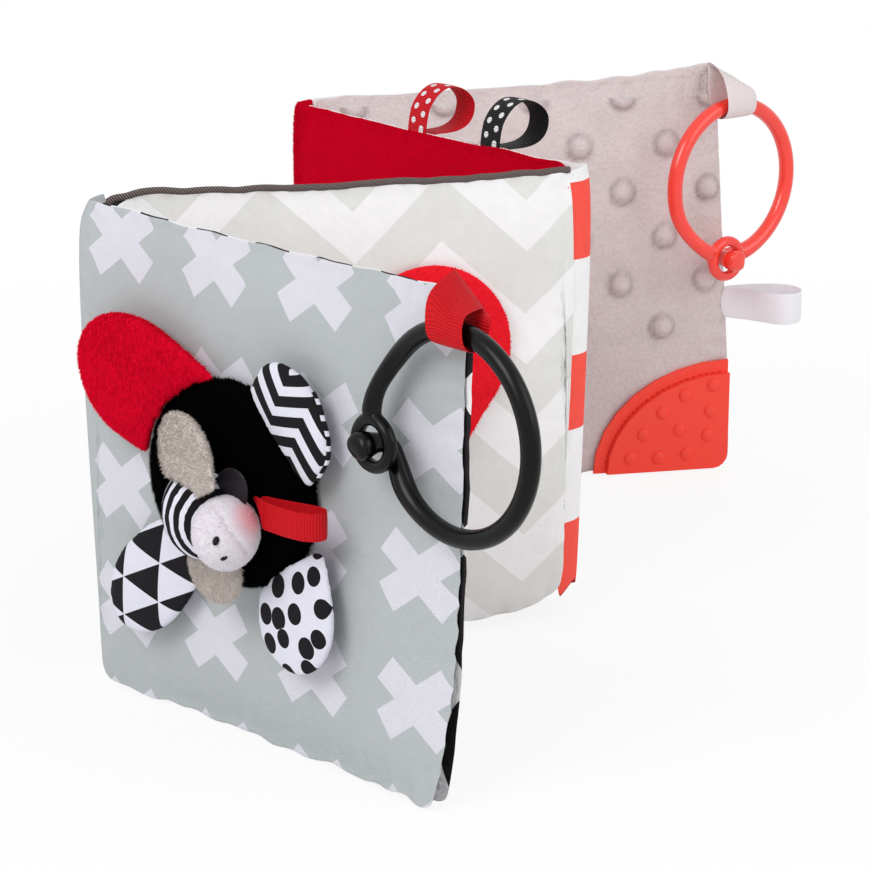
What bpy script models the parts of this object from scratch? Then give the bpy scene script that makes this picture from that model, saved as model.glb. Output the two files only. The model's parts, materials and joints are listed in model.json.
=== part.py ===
"""Crinkle cloth book: four padded pages joined by limp cloth strips, standing on edge in a zigzag.

Every page is two cloth covers round a layer of wadding and a sheet of crinkle film. A stuffed
animal lies on the first page, a plush heart on the second and a plush star on the third. Two
link rings hang from corner straps, three ribbon loops stand in the seams, and the last page has
a silicone teether on its lower corner. Lengths are metres and +Z is up.
"""

import math

import bmesh
import bpy
from mathutils import Matrix, Vector

# Pages
page_width = 0.161
page_height = 0.160
page_crown = 0.0052
page_edge = 0.0012
cover_wall = 0.0008
seam_width = 0.0035
swell_power = 4
side_draw = 0.0016
corner_radius = 0.006
film_thickness = 0.00025

# Clearances, and how far a cutter runs past what it cuts
touch_gap = 0.0003
seat_gap = 0.0006

# Limp strips that join the pages
strip_width = 0.0115
strip_half_thickness = 0.001
strip_bulges = (0.0068, 0.0026, 0.0050)
strip_foot = 0.0005
fold_stitch = 0.0018

# Directions in which the pages run, from above, in degrees from +X
page_headings = (137.3, 18.8, 128.8, 13.3)

# Heights of the top corners as shares of the page height: left and right end of each page
top_shares = ((0.994, 1.009), (1.009, 0.994), (0.994, 0.984), (0.984, 1.024))
page_free_ends = ((True, False), (False, False), (False, False), (False, True))

# The last page widens towards its foot
last_page_flare = 0.0115
flare_power = 1.6

# The free lower corner of the first page leans in and curls towards the reader
curl_in = 0.0074
curl_forward = 0.0068
curl_height_share = 0.52
curl_width_share = 0.44

# Plush heart on the second page
heart_centre_x = 0.080
heart_top = 0.132
heart_foot = 0.020
heart_lobe_radius = 0.030
heart_lobe_spread = 0.028
heart_side_bow = 0.0045
heart_thickness = 0.0042
heart_edge_share = 0.3

# Plush star on the third page
star_centre_x = 0.084
star_centre_z = 0.086
star_radius = 0.054
star_waist_share = 0.46
star_thickness = 0.0016
star_edge_share = 0.6

# Silicone teether on the lower corner of the last page
teether_width = 0.0555
teether_height = 0.0445
teether_flange = 0.0050
teether_thickness = 0.0040
flange_thickness = 0.0014
teether_corner = 0.006
teether_foot = 0.0006
teether_rise = 0.022
bump_radius = 0.0025
bump_height = 0.0012
bump_sink = 0.0006
bump_pitch = 0.0118
bump_row_pitch = 0.0092
bump_margin = 0.0072

# Link rings
ring_radius = 0.0302
tube_radius = 0.0033
neck_radius = 0.0024
knob_radius = 0.0036
eye_radius = 0.0056
eye_tube_radius = 0.0020
eye_lift = 0.0052
knob_lift = 0.0112
neck_bend = 0.0034

# Corner straps that hold the rings
ribbon_thickness = 0.0006
strap_width = 0.0165
strap_play = 0.0004
strap_crest = 0.0028
black_strap_turn = 44
black_hang_out = 0.0058
black_hang_front = 0.0120
black_ring_turn = -5
black_clasp_angle = 195
red_strap_turn = 62
red_hang_out = 0.0050
red_hang_front = 0.0098
red_ring_turn = 25
red_clasp_angle = 257
hang_drop = 0.0100

# Ribbon loops in the seams
loop_width = 0.0115
loop_length = 0.0248
red_loop_x = 0.090
black_loop_x = 0.049
tag_width = 0.0135
tag_length = 0.0272
tag_height_share = 0.575

# Stuffed animal on the first page
body_centre_x = 0.090
body_centre_z = 0.0845
body_radius_x = 0.0365
body_radius_z = 0.0335
body_height = 0.0145
body_wall = 0.0010
head_offset = (-0.0020, -0.0055, 0.0165)
head_radii = (0.0140, 0.0125, 0.0150)
muzzle_offset = (-0.0165, -0.0065, 0.0215)
muzzle_radii = (0.0110, 0.0110, 0.0128)
ribbon_offset = (-0.0215, -0.0010, 0.0140)
critter_ribbon_width = 0.0095
critter_ribbon_length = 0.0272
critter_ribbon_dip = 8

# Ears and satin flap. A root is given in shares of the head's radii from its middle, and a size
# is length, width and thickness. Bearings and lifts are degrees.
flap_tables = (
    {"name": "critter_upper_ear", "root_shares": (-0.7, 0.78, 0.51), "bearing": 46, "lift": -13,
     "size": (0.0300, 0.0205, 0.0050), "breadth_share": 0.6},
    {"name": "critter_lower_ear", "root_shares": (-0.07, -0.12, -0.78), "bearing": 262, "lift": -4,
     "size": (0.0210, 0.0200, 0.0046), "breadth_share": 0.8},
    {"name": "critter_satin_flap", "root_shares": (-0.54, 0.08, 0.55), "bearing": 137, "lift": 4,
     "size": (0.0165, 0.0135, 0.0016), "breadth_share": 0.8},
)

# Limbs. A root or hinge is the angle round the body's rim in degrees, then shares of the rim's
# radius and of the body's height. The breadth of a root is a share of the limb's width, and a
# slant runs the line of the root askew.
limb_tables = (
    {"name": "critter_red_limb", "root_shares": (49, 0.55, 0.42), "hinge_shares": (50, 0.66, 0.82),
     "bearing": 21, "lift": 0, "size": (0.0530, 0.0410, 0.0108), "breadth_share": 0.93,
     "slant_share": -0.53},
    {"name": "critter_zigzag_limb", "root_shares": (143, 0.92, 0.50), "hinge_shares": (143, 0.92, 0.58),
     "bearing": 130, "lift": -4, "size": (0.0212, 0.0350, 0.0060), "breadth_share": 0.95,
     "slant_share": 0.0},
    {"name": "critter_dotted_limb", "root_shares": (224, 0.97, 0.34), "hinge_shares": (224, 0.97, 0.42),
     "bearing": 257, "lift": 3, "size": (0.0350, 0.0300, 0.0062), "breadth_share": 0.88,
     "slant_share": 0.48},
    {"name": "critter_triangle_limb", "root_shares": (312, 0.97, 0.24), "hinge_shares": (312, 0.97, 0.32),
     "bearing": 313, "lift": 4, "size": (0.0430, 0.0300, 0.0062), "breadth_share": 0.8,
     "slant_share": 0.0},
)

# Side views of the ribbon loops as shares of their length: out of the seam, and aside
loop_shares = (
    (0.0, -0.012), (0.24, 0.03), (0.47, 0.18), (0.6, 0.42), (0.55, 0.7), (0.36, 0.9),
    (0.17, 0.88), (0.07, 0.68), (0.05, 0.4), (0.055, 0.18), (0.005, 0.036),
)
tag_shares = (
    (0.0, 0.0), (0.33, -0.03), (0.64, 0.0), (0.88, 0.1), (1.0, 0.33), (0.94, 0.58),
    (0.7, 0.73), (0.45, 0.58), (0.21, 0.27), (0.01, 0.045),
)
critter_ribbon_shares = (
    (0.0, 0.0), (0.3, 0.13), (0.62, 0.2), (0.88, 0.19), (1.0, 0.06), (0.93, -0.08),
    (0.7, -0.09), (0.38, -0.06), (0.04, -0.05),
)

# How a strap runs from its seam to the ring's tube: shares of the way across to the ring, of the way
# forward, of the bight's radius, of its crest and of its fall. Behind the tube it drops and returns.
strap_out_shares = (
    (0.05, 0.0, 0.0, 0.6, 0.0), (0.3, 0.4, 0.0, 1.0, 0.0), (0.6, 1.0, 0.45, 0.4, 0.08),
    (0.95, 1.0, 0.95, 0.0, 0.5),
)
strap_behind_shares = (0.92, 1.25, 0.55)
strap_return_shares = (0.4, 0.1)
strap_end_share = 0.1

# Shares of a page at which its cloth has a row of points, and how many rows lie in the seams
cover_shares = (0.0, 0.022, 0.085, 0.24, 0.5, 0.76, 0.915, 0.978, 1.0)
teether_side_shares = (0.0, 0.022, 0.085, 0.24, 0.45)
teether_far_shares = (0.82, 0.925, 0.978, 1.0)
teether_low_shares = (0.0, 0.022, 0.16)
teether_high_shares = (0.62, 0.8, 0.93, 0.978, 1.0)
seam_rows = 2

pillow_shares = (1.0, 0.9, 0.68, 0.36)
dome_shares = (1.0, 0.95, 0.82, 0.62, 0.34)

# Where the heart's sides are bowed, where the ring's neck bends, and how much of the ring rises to
# its eye
heart_bow_shares = (0.25, 0.5, 0.75)
neck_shares = (0.3, 0.7, 1.0)
eye_rise_share = 0.14

# A petal's thickness at its root and its rim, where it is full, and where its middle lies
petal_shares = (0.4, 0.16, 0.35, 0.52)
strip_shares = (0.0, 0.12, 0.32, 0.5, 0.68, 0.88, 1.0)

# Counts
tube_sides = 8
ring_steps = 34
eye_steps = 14
bight_steps = 6
eye_sides = 6
loop_steps = 2
dome_sides = 24
bump_rows = 5
ball_segments = 14
ball_rings = 9
room_segments = 28
room_rings = 16


def remove_everything():
    """Empty the file of objects, so that the model stands alone."""
    for thing in list(bpy.data.objects):
        bpy.data.objects.remove(thing, do_unlink=True)


def make_material(name, colour, roughness, metallic=0.0):
    """A plain finish of one colour."""
    finish = bpy.data.materials.new(name)
    finish.use_nodes = True
    shader = finish.node_tree.nodes["Principled BSDF"]
    shader.inputs["Base Color"].default_value = (*colour, 1.0)
    shader.inputs["Roughness"].default_value = roughness
    shader.inputs["Metallic"].default_value = metallic
    return finish


frames = {}


def add_frame(name, carrier, place):
    """An empty that carries pieces. Its place is given in its carrier's own axes."""
    holder = bpy.data.objects.new(name, None)
    bpy.context.scene.collection.objects.link(holder)
    world = place
    if carrier:
        holder.parent = frames[carrier][0]
        world = frames[carrier][1] @ place
    holder.matrix_basis = place
    frames[name] = (holder, world)


def add_piece(name, mesh, finish, drawn_in, carried_by=None):
    """An object whose mesh is drawn in one frame and carried by that frame or another."""
    piece = bpy.data.objects.new(name, mesh)
    bpy.context.scene.collection.objects.link(piece)
    if finish:
        mesh.materials.append(finish)
    holder, world = frames[carried_by or drawn_in]
    piece.parent = holder
    piece.matrix_basis = world.inverted() @ frames[drawn_in][1]
    return piece


def finish_mesh(name, shape, smooth_angle=40):
    """Close a bmesh into a mesh with faces out and soft shading."""
    bmesh.ops.recalc_face_normals(shape, faces=shape.faces[:])
    bmesh.ops.triangulate(shape, faces=shape.faces[:])
    mesh = bpy.data.meshes.new(name)
    shape.to_mesh(mesh)
    shape.free()
    mesh.shade_smooth()
    mesh.set_sharp_from_angle(angle=math.radians(smooth_angle))
    return mesh


def slab_mesh(name, upper, lower):
    """A closed sheet between two grids of points that have the same rows and columns."""
    shape = bmesh.new()
    layers = []
    for grid in (upper, lower):
        layers.append([[shape.verts.new(point) for point in row] for row in grid])
    rows = len(upper)
    columns = len(upper[0])
    for layer in layers:
        for i in range(rows - 1):
            for j in range(columns - 1):
                a, b = layer[i][j], layer[i + 1][j]
                c, d = layer[i + 1][j + 1], layer[i][j + 1]
                shape.faces.new((a, b, c))
                shape.faces.new((a, c, d))
    rim = [(i, 0) for i in range(rows)]
    rim += [(rows - 1, j) for j in range(1, columns)]
    rim += [(i, columns - 1) for i in range(rows - 2, -1, -1)]
    rim += [(0, j) for j in range(columns - 2, 0, -1)]
    for here, there in zip(rim, rim[1:] + rim[:1]):
        top_a, top_b = layers[0][here[0]][here[1]], layers[0][there[0]][there[1]]
        low_a, low_b = layers[1][here[0]][here[1]], layers[1][there[0]][there[1]]
        shape.faces.new((top_a, top_b, low_b, low_a))
    return finish_mesh(name, shape)


def ring_skin(shape, rings, closed=False):
    """Faces between rings of vertices that have the same count."""
    pairs = list(zip(rings, rings[1:]))
    if closed:
        pairs.append((rings[-1], rings[0]))
    for first, second in pairs:
        count = len(first)
        for k in range(count):
            after = (k + 1) % count
            shape.faces.new((first[k], first[after], second[after], second[k]))


def pillow_mesh(name, outline, middle, lift, front, back, edge):
    """A stuffed panel. The outline lies in a plane, and both faces swell towards the middle.

    lift turns a point of the plane and its height above it into a point in space.
    """
    shape = bmesh.new()

    def ring(share, height):
        return [shape.verts.new(lift(middle + (point - middle) * share, height)) for point in outline]

    def rise(share, height):
        return edge + (height - edge) * math.sqrt(1 - share ** 2)

    upper = [ring(share, rise(share, front)) for share in pillow_shares]
    lower = [ring(share, -rise(share, back)) for share in pillow_shares]
    ring_skin(shape, upper)
    ring_skin(shape, lower)
    ring_skin(shape, [upper[0], lower[0]])
    for rings, height in ((upper, front), (lower, -back)):
        tip = shape.verts.new(lift(middle, height))
        inner = rings[-1]
        for k in range(len(inner)):
            shape.faces.new((inner[k], inner[(k + 1) % len(inner)], tip))
    return finish_mesh(name, shape)


def tube_mesh(name, path, radii, sides, closed=False):
    """A round tube swept along a path, with one radius for each point of it."""
    shape = bmesh.new()
    add_tube(shape, path, radii, sides, closed)
    return finish_mesh(name, shape)


def add_tube(shape, path, radii, sides, closed=False):
    """Sweep a round section along a path without letting it twist."""
    count = len(path)
    tangents = []
    for i in range(count):
        before = path[i - 1] if i > 0 or closed else path[i]
        after = path[(i + 1) % count] if i < count - 1 or closed else path[i]
        tangents.append((after - before).normalized())
    side = tangents[0].orthogonal().normalized()
    if closed:
        side = (path[0] - sum(path, Vector()) / count).normalized()
    rings = []
    for point, tangent, radius in zip(path, tangents, radii):
        side = (side - tangent * side.dot(tangent)).normalized()
        across = tangent.cross(side)
        ring = []
        for k in range(sides):
            turn = math.tau * k / sides
            offset = side * math.cos(turn) + across * math.sin(turn)
            ring.append(shape.verts.new(point + offset * radius))
        rings.append(ring)
    ring_skin(shape, rings, closed)
    if not closed:
        shape.faces.new(rings[0])
        shape.faces.new(rings[-1])


def band_mesh(name, stations):
    """A flat ribbon through stations, each a centre, a half width and a half thickness."""
    shape = bmesh.new()
    rings = []
    for centre, across, through in stations:
        corners = (across + through, across - through, -across - through, -across + through)
        rings.append([shape.verts.new(centre + corner) for corner in corners])
    ring_skin(shape, rings)
    shape.faces.new(rings[0])
    shape.faces.new(rings[-1])
    return finish_mesh(name, shape)


def ball_mesh(name, centre, radii, segments=ball_segments, rings=ball_rings):
    """An egg-shaped ball in its frame's own axes."""
    shape = bmesh.new()
    place = Matrix.Translation(centre) @ Matrix.Diagonal((*radii, 1))
    bmesh.ops.create_uvsphere(shape, u_segments=segments, v_segments=rings, radius=1, matrix=place)
    return finish_mesh(name, shape)


def add_cutter(name, mesh, drawn_in):
    """A helper object that other pieces are cut or joined with."""
    cutter = add_piece(name, mesh, None, drawn_in)
    cutter.hide_render = True
    cutter.display_type = "WIRE"
    return cutter


def cut_with(piece, cutter, operation="DIFFERENCE"):
    """Cut or join a piece with a helper object."""
    boolean = piece.modifiers.new(cutter.name, "BOOLEAN")
    boolean.operation = operation
    boolean.solver = "EXACT"
    boolean.object = cutter


def swell(share):
    """How full a padded page is across its width: empty at its seams, full in the middle."""
    return math.sqrt(max(0.0, 1 - abs(2 * share - 1) ** swell_power))


def page_span(number):
    """Where the cloth of a page begins and ends along the page."""
    left_free, right_free = page_free_ends[number]
    return (0 if left_free else fold_stitch), page_width - (0 if right_free else fold_stitch)


def page_top(number, x):
    """Height of a page's top seam, which draws in between its corners."""
    left, right = top_shares[number]
    along = x / page_width
    corners = page_height * (left + (right - left) * along)
    return corners - side_draw * 4 * along * (1 - along)


def page_flare(number, t):
    """How far the free edge of the last page stands out at share t of its height."""
    return last_page_flare * (1 - t ** flare_power) if number == 3 else 0


def page_plan(number, s, t):
    """The point of a page's outline grid at shares s along it and t up it."""
    start, end = page_span(number)
    left_free, right_free = page_free_ends[number]
    draw = side_draw * 4 * t * (1 - t)
    low = start + (draw if left_free else 0)
    high = end - (draw if right_free else 0) + page_flare(number, t)
    x = low + (high - low) * s
    z = page_top(number, x) * t
    for free, centre_x, side in ((left_free, low + corner_radius, -1), (right_free, high - corner_radius, 1)):
        if not free:
            continue
        for centre_z, up in ((page_top(number, x) - corner_radius, 1), (corner_radius, -1)):
            away = Vector((x - centre_x, z - centre_z))
            if away.x * side > 0 and away.y * up > 0 and away.length > corner_radius:
                away.length = corner_radius
                x, z = centre_x + away.x, centre_z + away.y
    return x, z


def teether_corner_x():
    """Where the teether's outer side runs, level with its top end on the page's edge."""
    return page_plan(3, 1, teether_height / page_height)[0] - touch_gap


def teether_share(number, x, z):
    """The last page lies flat under its teether and swells again beyond it."""
    if number != 3:
        return 1.0
    beyond_x = teether_corner_x() - teether_width - seat_gap - x
    beyond_z = z - teether_height - teether_foot - seat_gap
    beyond = min(1.0, max(0.0, max(beyond_x, beyond_z) / teether_rise))
    return beyond * beyond * (3 - 2 * beyond)


def grid_shares(number):
    """Shares along and up a page at which its cloth has a row of points."""
    if number != 3:
        return cover_shares, cover_shares
    flat_x = teether_corner_x() - teether_width - 2 * seat_gap
    foot_width = page_plan(3, 1, teether_height / page_height)[0] - fold_stitch
    flat_z = teether_height + teether_foot + 2 * seat_gap
    along = teether_side_shares + ((flat_x - fold_stitch) / foot_width,) + teether_far_shares
    up = teether_low_shares + (flat_z / page_height, (flat_z + teether_rise) / page_height)
    return along, up + teether_high_shares


def page_height_at(number, x, z):
    """Half thickness of a page at a point of it."""
    start, end = page_span(number)
    top = page_top(number, x)
    end += page_flare(number, min(1.0, z / top))
    s = (x - start - seam_width) / (end - start - 2 * seam_width)
    t = (z - seam_width) / (top - 2 * seam_width)
    if not (0 < s < 1 and 0 < t < 1):
        return page_edge
    full = swell(s) * swell(t) * teether_share(number, x, z)
    return page_edge + (page_crown - page_edge) * full


def curl(number, x, y, z):
    """Lean and curl the free lower corner of the first page."""
    if number != 0:
        return Vector((x, y, z))
    low = max(0.0, 1 - z / (page_height * curl_height_share))
    near = max(0.0, 1 - x / (page_width * curl_width_share))
    amount = low ** 2 * near ** 1.5
    return Vector((x + curl_in * amount, y + curl_forward * amount, z))


def page_grid(number, shares, height):
    """A grid of points over a page, at the height that height(x, z) gives."""
    grid = []
    for s in shares[0]:
        row = []
        for t in shares[1]:
            x, z = page_plan(number, s, t)
            row.append(curl(number, x, height(x, z), z))
        grid.append(row)
    return grid


def add_cover(number, side, name, finish):
    """One cloth cover, dished round the filling and flat along its seam."""

    def outer(x, z):
        return side * page_height_at(number, x, z)

    def inner(x, z):
        full = page_height_at(number, x, z)
        if full < page_edge + cover_wall:
            return side * touch_gap / 2
        return side * (full - cover_wall)

    shares = grid_shares(number)
    mesh = slab_mesh(name, page_grid(number, shares, outer), page_grid(number, shares, inner))
    return add_piece(name, mesh, finish, f"page_{number + 1}")


def add_filling(number, finishes):
    """The crinkle film under the front cover, and the wadding behind it.

    On the last page both stop above the teether.
    """
    along, up = grid_shares(number)
    low_rows = seam_rows if number != 3 else len(teether_low_shares) + 1
    shares = along[seam_rows:-seam_rows], up[low_rows:-seam_rows]
    film, wadding = finishes

    def room(x, z):
        return page_height_at(number, x, z) - cover_wall - touch_gap

    def film_back(x, z):
        return room(x, z) - film_thickness

    def wadding_front(x, z):
        return film_back(x, z) - touch_gap

    def wadding_back(x, z):
        return -room(x, z)

    layers = (
        ("crinkle_film", room, film_back, film),
        ("wadding", wadding_front, wadding_back, wadding),
    )
    for label, front, back, finish in layers:
        name = f"page_{number + 1}_{label}"
        mesh = slab_mesh(name, page_grid(number, shares, front), page_grid(number, shares, back))
        add_piece(name, mesh, finish, f"page_{number + 1}")


def add_strip(number, frame, side, finish):
    """A limp strip between two pages, padded on its outer side, most of all near its top.

    Its long edges are round and lie on the axes that the pages turn about.
    """
    shape = bmesh.new()
    top = page_height * top_shares[number][1] - seam_width / 2
    rings = []
    for share in strip_shares:
        height = strip_foot + (top - strip_foot) * share
        bulge = strip_bulges[number] * math.sin(math.pi * share ** 2)
        outline = []
        for k in range(5):
            turn = math.radians(-90 + 45 * k)
            outline.append((strip_width + strip_half_thickness * math.cos(turn),
                            strip_half_thickness * math.sin(turn)))
        for k in range(1, 6):
            along = 1 - k / 6
            rise = strip_half_thickness + bulge * math.sin(math.pi * along)
            outline.append((strip_width * along, rise))
        for k in range(5):
            turn = math.radians(90 + 45 * k)
            outline.append((strip_half_thickness * math.cos(turn),
                            strip_half_thickness * math.sin(turn)))
        rings.append([shape.verts.new((x, side * y, height)) for x, y in outline])
    ring_skin(shape, rings)
    shape.faces.new(rings[0])
    shape.faces.new(rings[-1])
    name = f"fold_strip_{number + 1}"
    add_piece(name, finish_mesh(name, shape), finish, frame)


def heart_outline():
    """Two lobes that meet in a notch above, and a tip below."""
    lobe_z = heart_top - heart_lobe_radius
    slope = math.atan2(heart_lobe_spread, lobe_z - heart_foot)
    distance = math.hypot(heart_lobe_spread, lobe_z - heart_foot)
    touch = math.pi - math.asin(heart_lobe_radius / distance) - slope
    first = math.pi / 2 - touch
    notch = math.pi - math.acos(min(1.0, heart_lobe_spread / heart_lobe_radius))
    half = []
    steps = 8
    for k in range(steps + 1):
        turn = first + (notch - first) * k / steps
        half.append(Vector((heart_lobe_spread + heart_lobe_radius * math.cos(turn),
                            lobe_z + heart_lobe_radius * math.sin(turn))))
    half[-1].x = 0
    tip = Vector((0, heart_foot))
    side = half[0] - tip
    outwards = Vector((side.y, -side.x)).normalized()
    bowed = [
        tip + side * share + outwards * heart_side_bow * math.sin(math.pi * share)
        for share in heart_bow_shares
    ]
    right = [tip] + bowed + half
    left = [Vector((-point.x, point.y)) for point in reversed(right[1:-1])]
    return [Vector((point.x + heart_centre_x, point.y)) for point in right + left]


def star_outline():
    """A five-pointed star standing on two points."""
    points = []
    for k in range(10):
        turn = math.pi / 2 + math.tau * k / 10
        radius = star_radius * (star_waist_share if k % 2 else 1)
        points.append(Vector((star_centre_x + radius * math.cos(turn),
                              star_centre_z + radius * math.sin(turn))))
    return points


def add_applique(name, number, side, outline, thickness, edge, finish):
    """A plush shape that lies on the swell of a page."""

    def lift(point, height):
        base = page_height_at(number, point.x, point.y) + seat_gap
        return Vector((point.x, side * (base + max(0.0, height)), point.y))

    middle = sum(outline, Vector((0, 0))) / len(outline)
    mesh = pillow_mesh(name, outline, middle, lift, thickness, 0.0, edge)
    return add_piece(name, mesh, finish, f"page_{number + 1}")


def add_teether(finish):
    """A silicone corner: a raised plate with bumps, and a thin flange stitched to the cloth."""
    face = page_edge + touch_gap
    edge_x = teether_corner_x()

    def sector(inset):
        corner_x = edge_x - teether_corner
        corner_z = teether_foot + teether_corner
        outline = []
        for k in range(9):
            turn = math.radians(90 + 90 * k / 8)
            outline.append((edge_x + (teether_width - inset) * math.cos(turn),
                            teether_foot + (teether_height - inset) * math.sin(turn)))
        for k in range(5):
            turn = math.radians(-90 + 90 * k / 4)
            outline.append((corner_x + teether_corner * math.cos(turn),
                            corner_z + teether_corner * math.sin(turn)))
        return outline

    def plate(name, inset, near, far):
        shape = bmesh.new()
        rings = [[shape.verts.new((x, -y, z)) for x, z in sector(inset)] for y in (near, far)]
        ring_skin(shape, rings)
        for ring in rings:
            shape.faces.new(ring)
        return finish_mesh(name, shape)

    flange = plate("corner_teether", 0, face, face + flange_thickness)
    teether = add_piece("corner_teether", flange, finish, "page_4")
    raised_face = face + teether_thickness
    raised = plate("teether_plate", teether_flange, face + flange_thickness / 2, raised_face)
    cut_with(teether, add_cutter("teether_plate", raised, "page_4"), "UNION")

    shape = bmesh.new()
    room_x = teether_width - teether_flange - bump_row_pitch / 2
    room_z = teether_height - teether_flange - bump_row_pitch / 2
    for row in range(bump_rows):
        for column in range(bump_rows):
            inset = bump_margin + bump_pitch * (column + (row % 2) / 2)
            up = bump_margin - teether_foot + bump_row_pitch * row
            if (inset / room_x) ** 2 + (up / room_z) ** 2 < 1:
                place = Matrix.Translation((edge_x - inset, bump_sink - raised_face, teether_foot + up))
                bmesh.ops.create_cone(
                    shape, cap_ends=True, segments=8, radius1=bump_radius, radius2=bump_radius / 2,
                    depth=2 * bump_height, matrix=place @ Matrix.Rotation(math.radians(90), 4, "X"),
                )
    bumps = add_cutter("teether_bumps", finish_mesh("teether_bumps", shape), "page_4")
    cut_with(teether, bumps, "UNION")


def smooth_route(points):
    """More points along a smooth curve through the given ones."""
    route = []
    last = len(points) - 1
    for k in range(last):
        before, here = points[max(0, k - 1)], points[k]
        there, after = points[k + 1], points[min(last, k + 2)]
        for step in range(loop_steps):
            t = step / loop_steps
            route.append(
                here
                + (there - before) * (t / 2)
                + (before * 2 - here * 5 + there * 4 - after) * (t * t / 2)
                + ((here - there) * 3 + after - before) * (t ** 3 / 2)
            )
    route.append(points[last])
    return route


def band_stations(centres, acrosses):
    """Ribbon stations along centre points, with the ribbon's half width vector at each."""
    stations = []
    for k, (centre, across) in enumerate(zip(centres, acrosses)):
        before = centres[max(0, k - 1)]
        after = centres[min(len(centres) - 1, k + 1)]
        through = (after - before).cross(across).normalized() * ribbon_thickness / 2
        stations.append((centre, across, through))
    return stations


def add_seam_loop(name, number, seat, hinge, axes, sizes, finish):
    """A ribbon loop whose two ends lie side by side in a seam, and which bends at its hinge.

    axes are the directions out of the seam, aside and across the ribbon.
    """
    out, aside, across = axes
    length, width, shares = sizes
    points = [seat + (out * u + aside * v) * length for u, v in shares]
    centres = smooth_route(points)
    stations = band_stations(centres, [across * width / 2] * len(centres))
    add_frame(name + "_axis", f"page_{number + 1}", Matrix.Translation(hinge))
    return add_piece(name, band_mesh(name, stations), finish, f"page_{number + 1}", name + "_axis")


def corner_axes(number):
    """Axes of a free top corner: outwards along the page, up, and out of its reading side."""
    if number == 0:
        return Vector((0, 0, 0)), Vector((-1, 0, 0)), Vector((0, 1, 0))
    return Vector((page_width, 0, 0)), Vector((1, 0, 0)), Vector((0, -1, 0))


def hang_point(number, hang_out, hang_front):
    """Centre of the ring's tube where the strap carries it."""
    corner, outwards, front = corner_axes(number)
    place = corner + outwards * hang_out + front * hang_front
    place.z = page_height - hang_drop
    return place


def seam_axes(number, seam_turn):
    """Where a strap is sewn to its rounded page corner, with its across and outward directions."""
    corner, outwards, front = corner_axes(number)
    turn = math.radians(seam_turn)
    across = outwards * math.cos(turn) + Vector((0, 0, -math.sin(turn)))
    away = outwards * math.sin(turn) + Vector((0, 0, math.cos(turn)))
    centre = corner - outwards * corner_radius
    centre.z = page_top(number, corner.x) - corner_radius
    return centre + away * (corner_radius + touch_gap), across, away


def add_strap(name, number, hang, turns, finish):
    """A ribbon folded over a page corner, its bight round the tube of a ring."""
    seam_turn, ring_turn = turns
    corner, outwards, front = corner_axes(number)
    up = Vector((0, 0, 1))
    seam, seam_across, away = seam_axes(number, seam_turn)
    bight_radius = tube_radius + strap_width ** 2 / (8 * ring_radius) + strap_play + ribbon_thickness / 2
    ring_across = ring_direction(number, ring_turn)
    ring_front = (front - ring_across * front.dot(ring_across)).normalized()
    ahead = (hang - seam).dot(front)
    fall = hang.z - seam.z

    route = [(0.0, -ribbon_thickness * 0.9, 0.0, 0.0, 0.0)]
    for way, ahead_share, round_share, crest_share, fall_share in strap_out_shares:
        route.append((way, ahead * ahead_share, bight_radius * round_share,
                      strap_crest * crest_share, fall * fall_share))
    for k in range(bight_steps + 1):
        turn = -math.pi * k / bight_steps
        route.append((1.0, ahead, bight_radius * math.cos(turn), 0.0, fall + bight_radius * math.sin(turn)))
    way, round_share, fall_share = strap_behind_shares
    route.append((way, ahead, -bight_radius * round_share, 0.0, fall * fall_share))
    way, fall_share = strap_return_shares
    route.append((way, page_edge + ribbon_thickness * 1.8, 0.0, ribbon_thickness, fall * fall_share))
    route.append((strap_end_share, ribbon_thickness * 1.3, 0.0, ribbon_thickness * 0.9, 0.0))
    sideways = (hang - seam).dot(outwards)
    centres = [
        seam + outwards * sideways * way + front * ahead_by + ring_front * round_by + away * clear + up * drop
        for way, ahead_by, round_by, clear, drop in route
    ]
    acrosses = [seam_across.slerp(ring_across, step[0]) * strap_width / 2 for step in route]
    stations = band_stations(centres, acrosses)
    add_frame(name + "_axis", f"page_{number + 1}", Matrix.Translation(seam))
    return add_piece(name, band_mesh(name, stations), finish, f"page_{number + 1}", name + "_axis")


def ring_direction(number, turn):
    """Level direction of a ring's plane, away from the page, turned behind the page by turn."""
    corner, outwards, front = corner_axes(number)
    angle = math.radians(turn)
    return outwards * math.cos(angle) - front * math.sin(angle)


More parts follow.
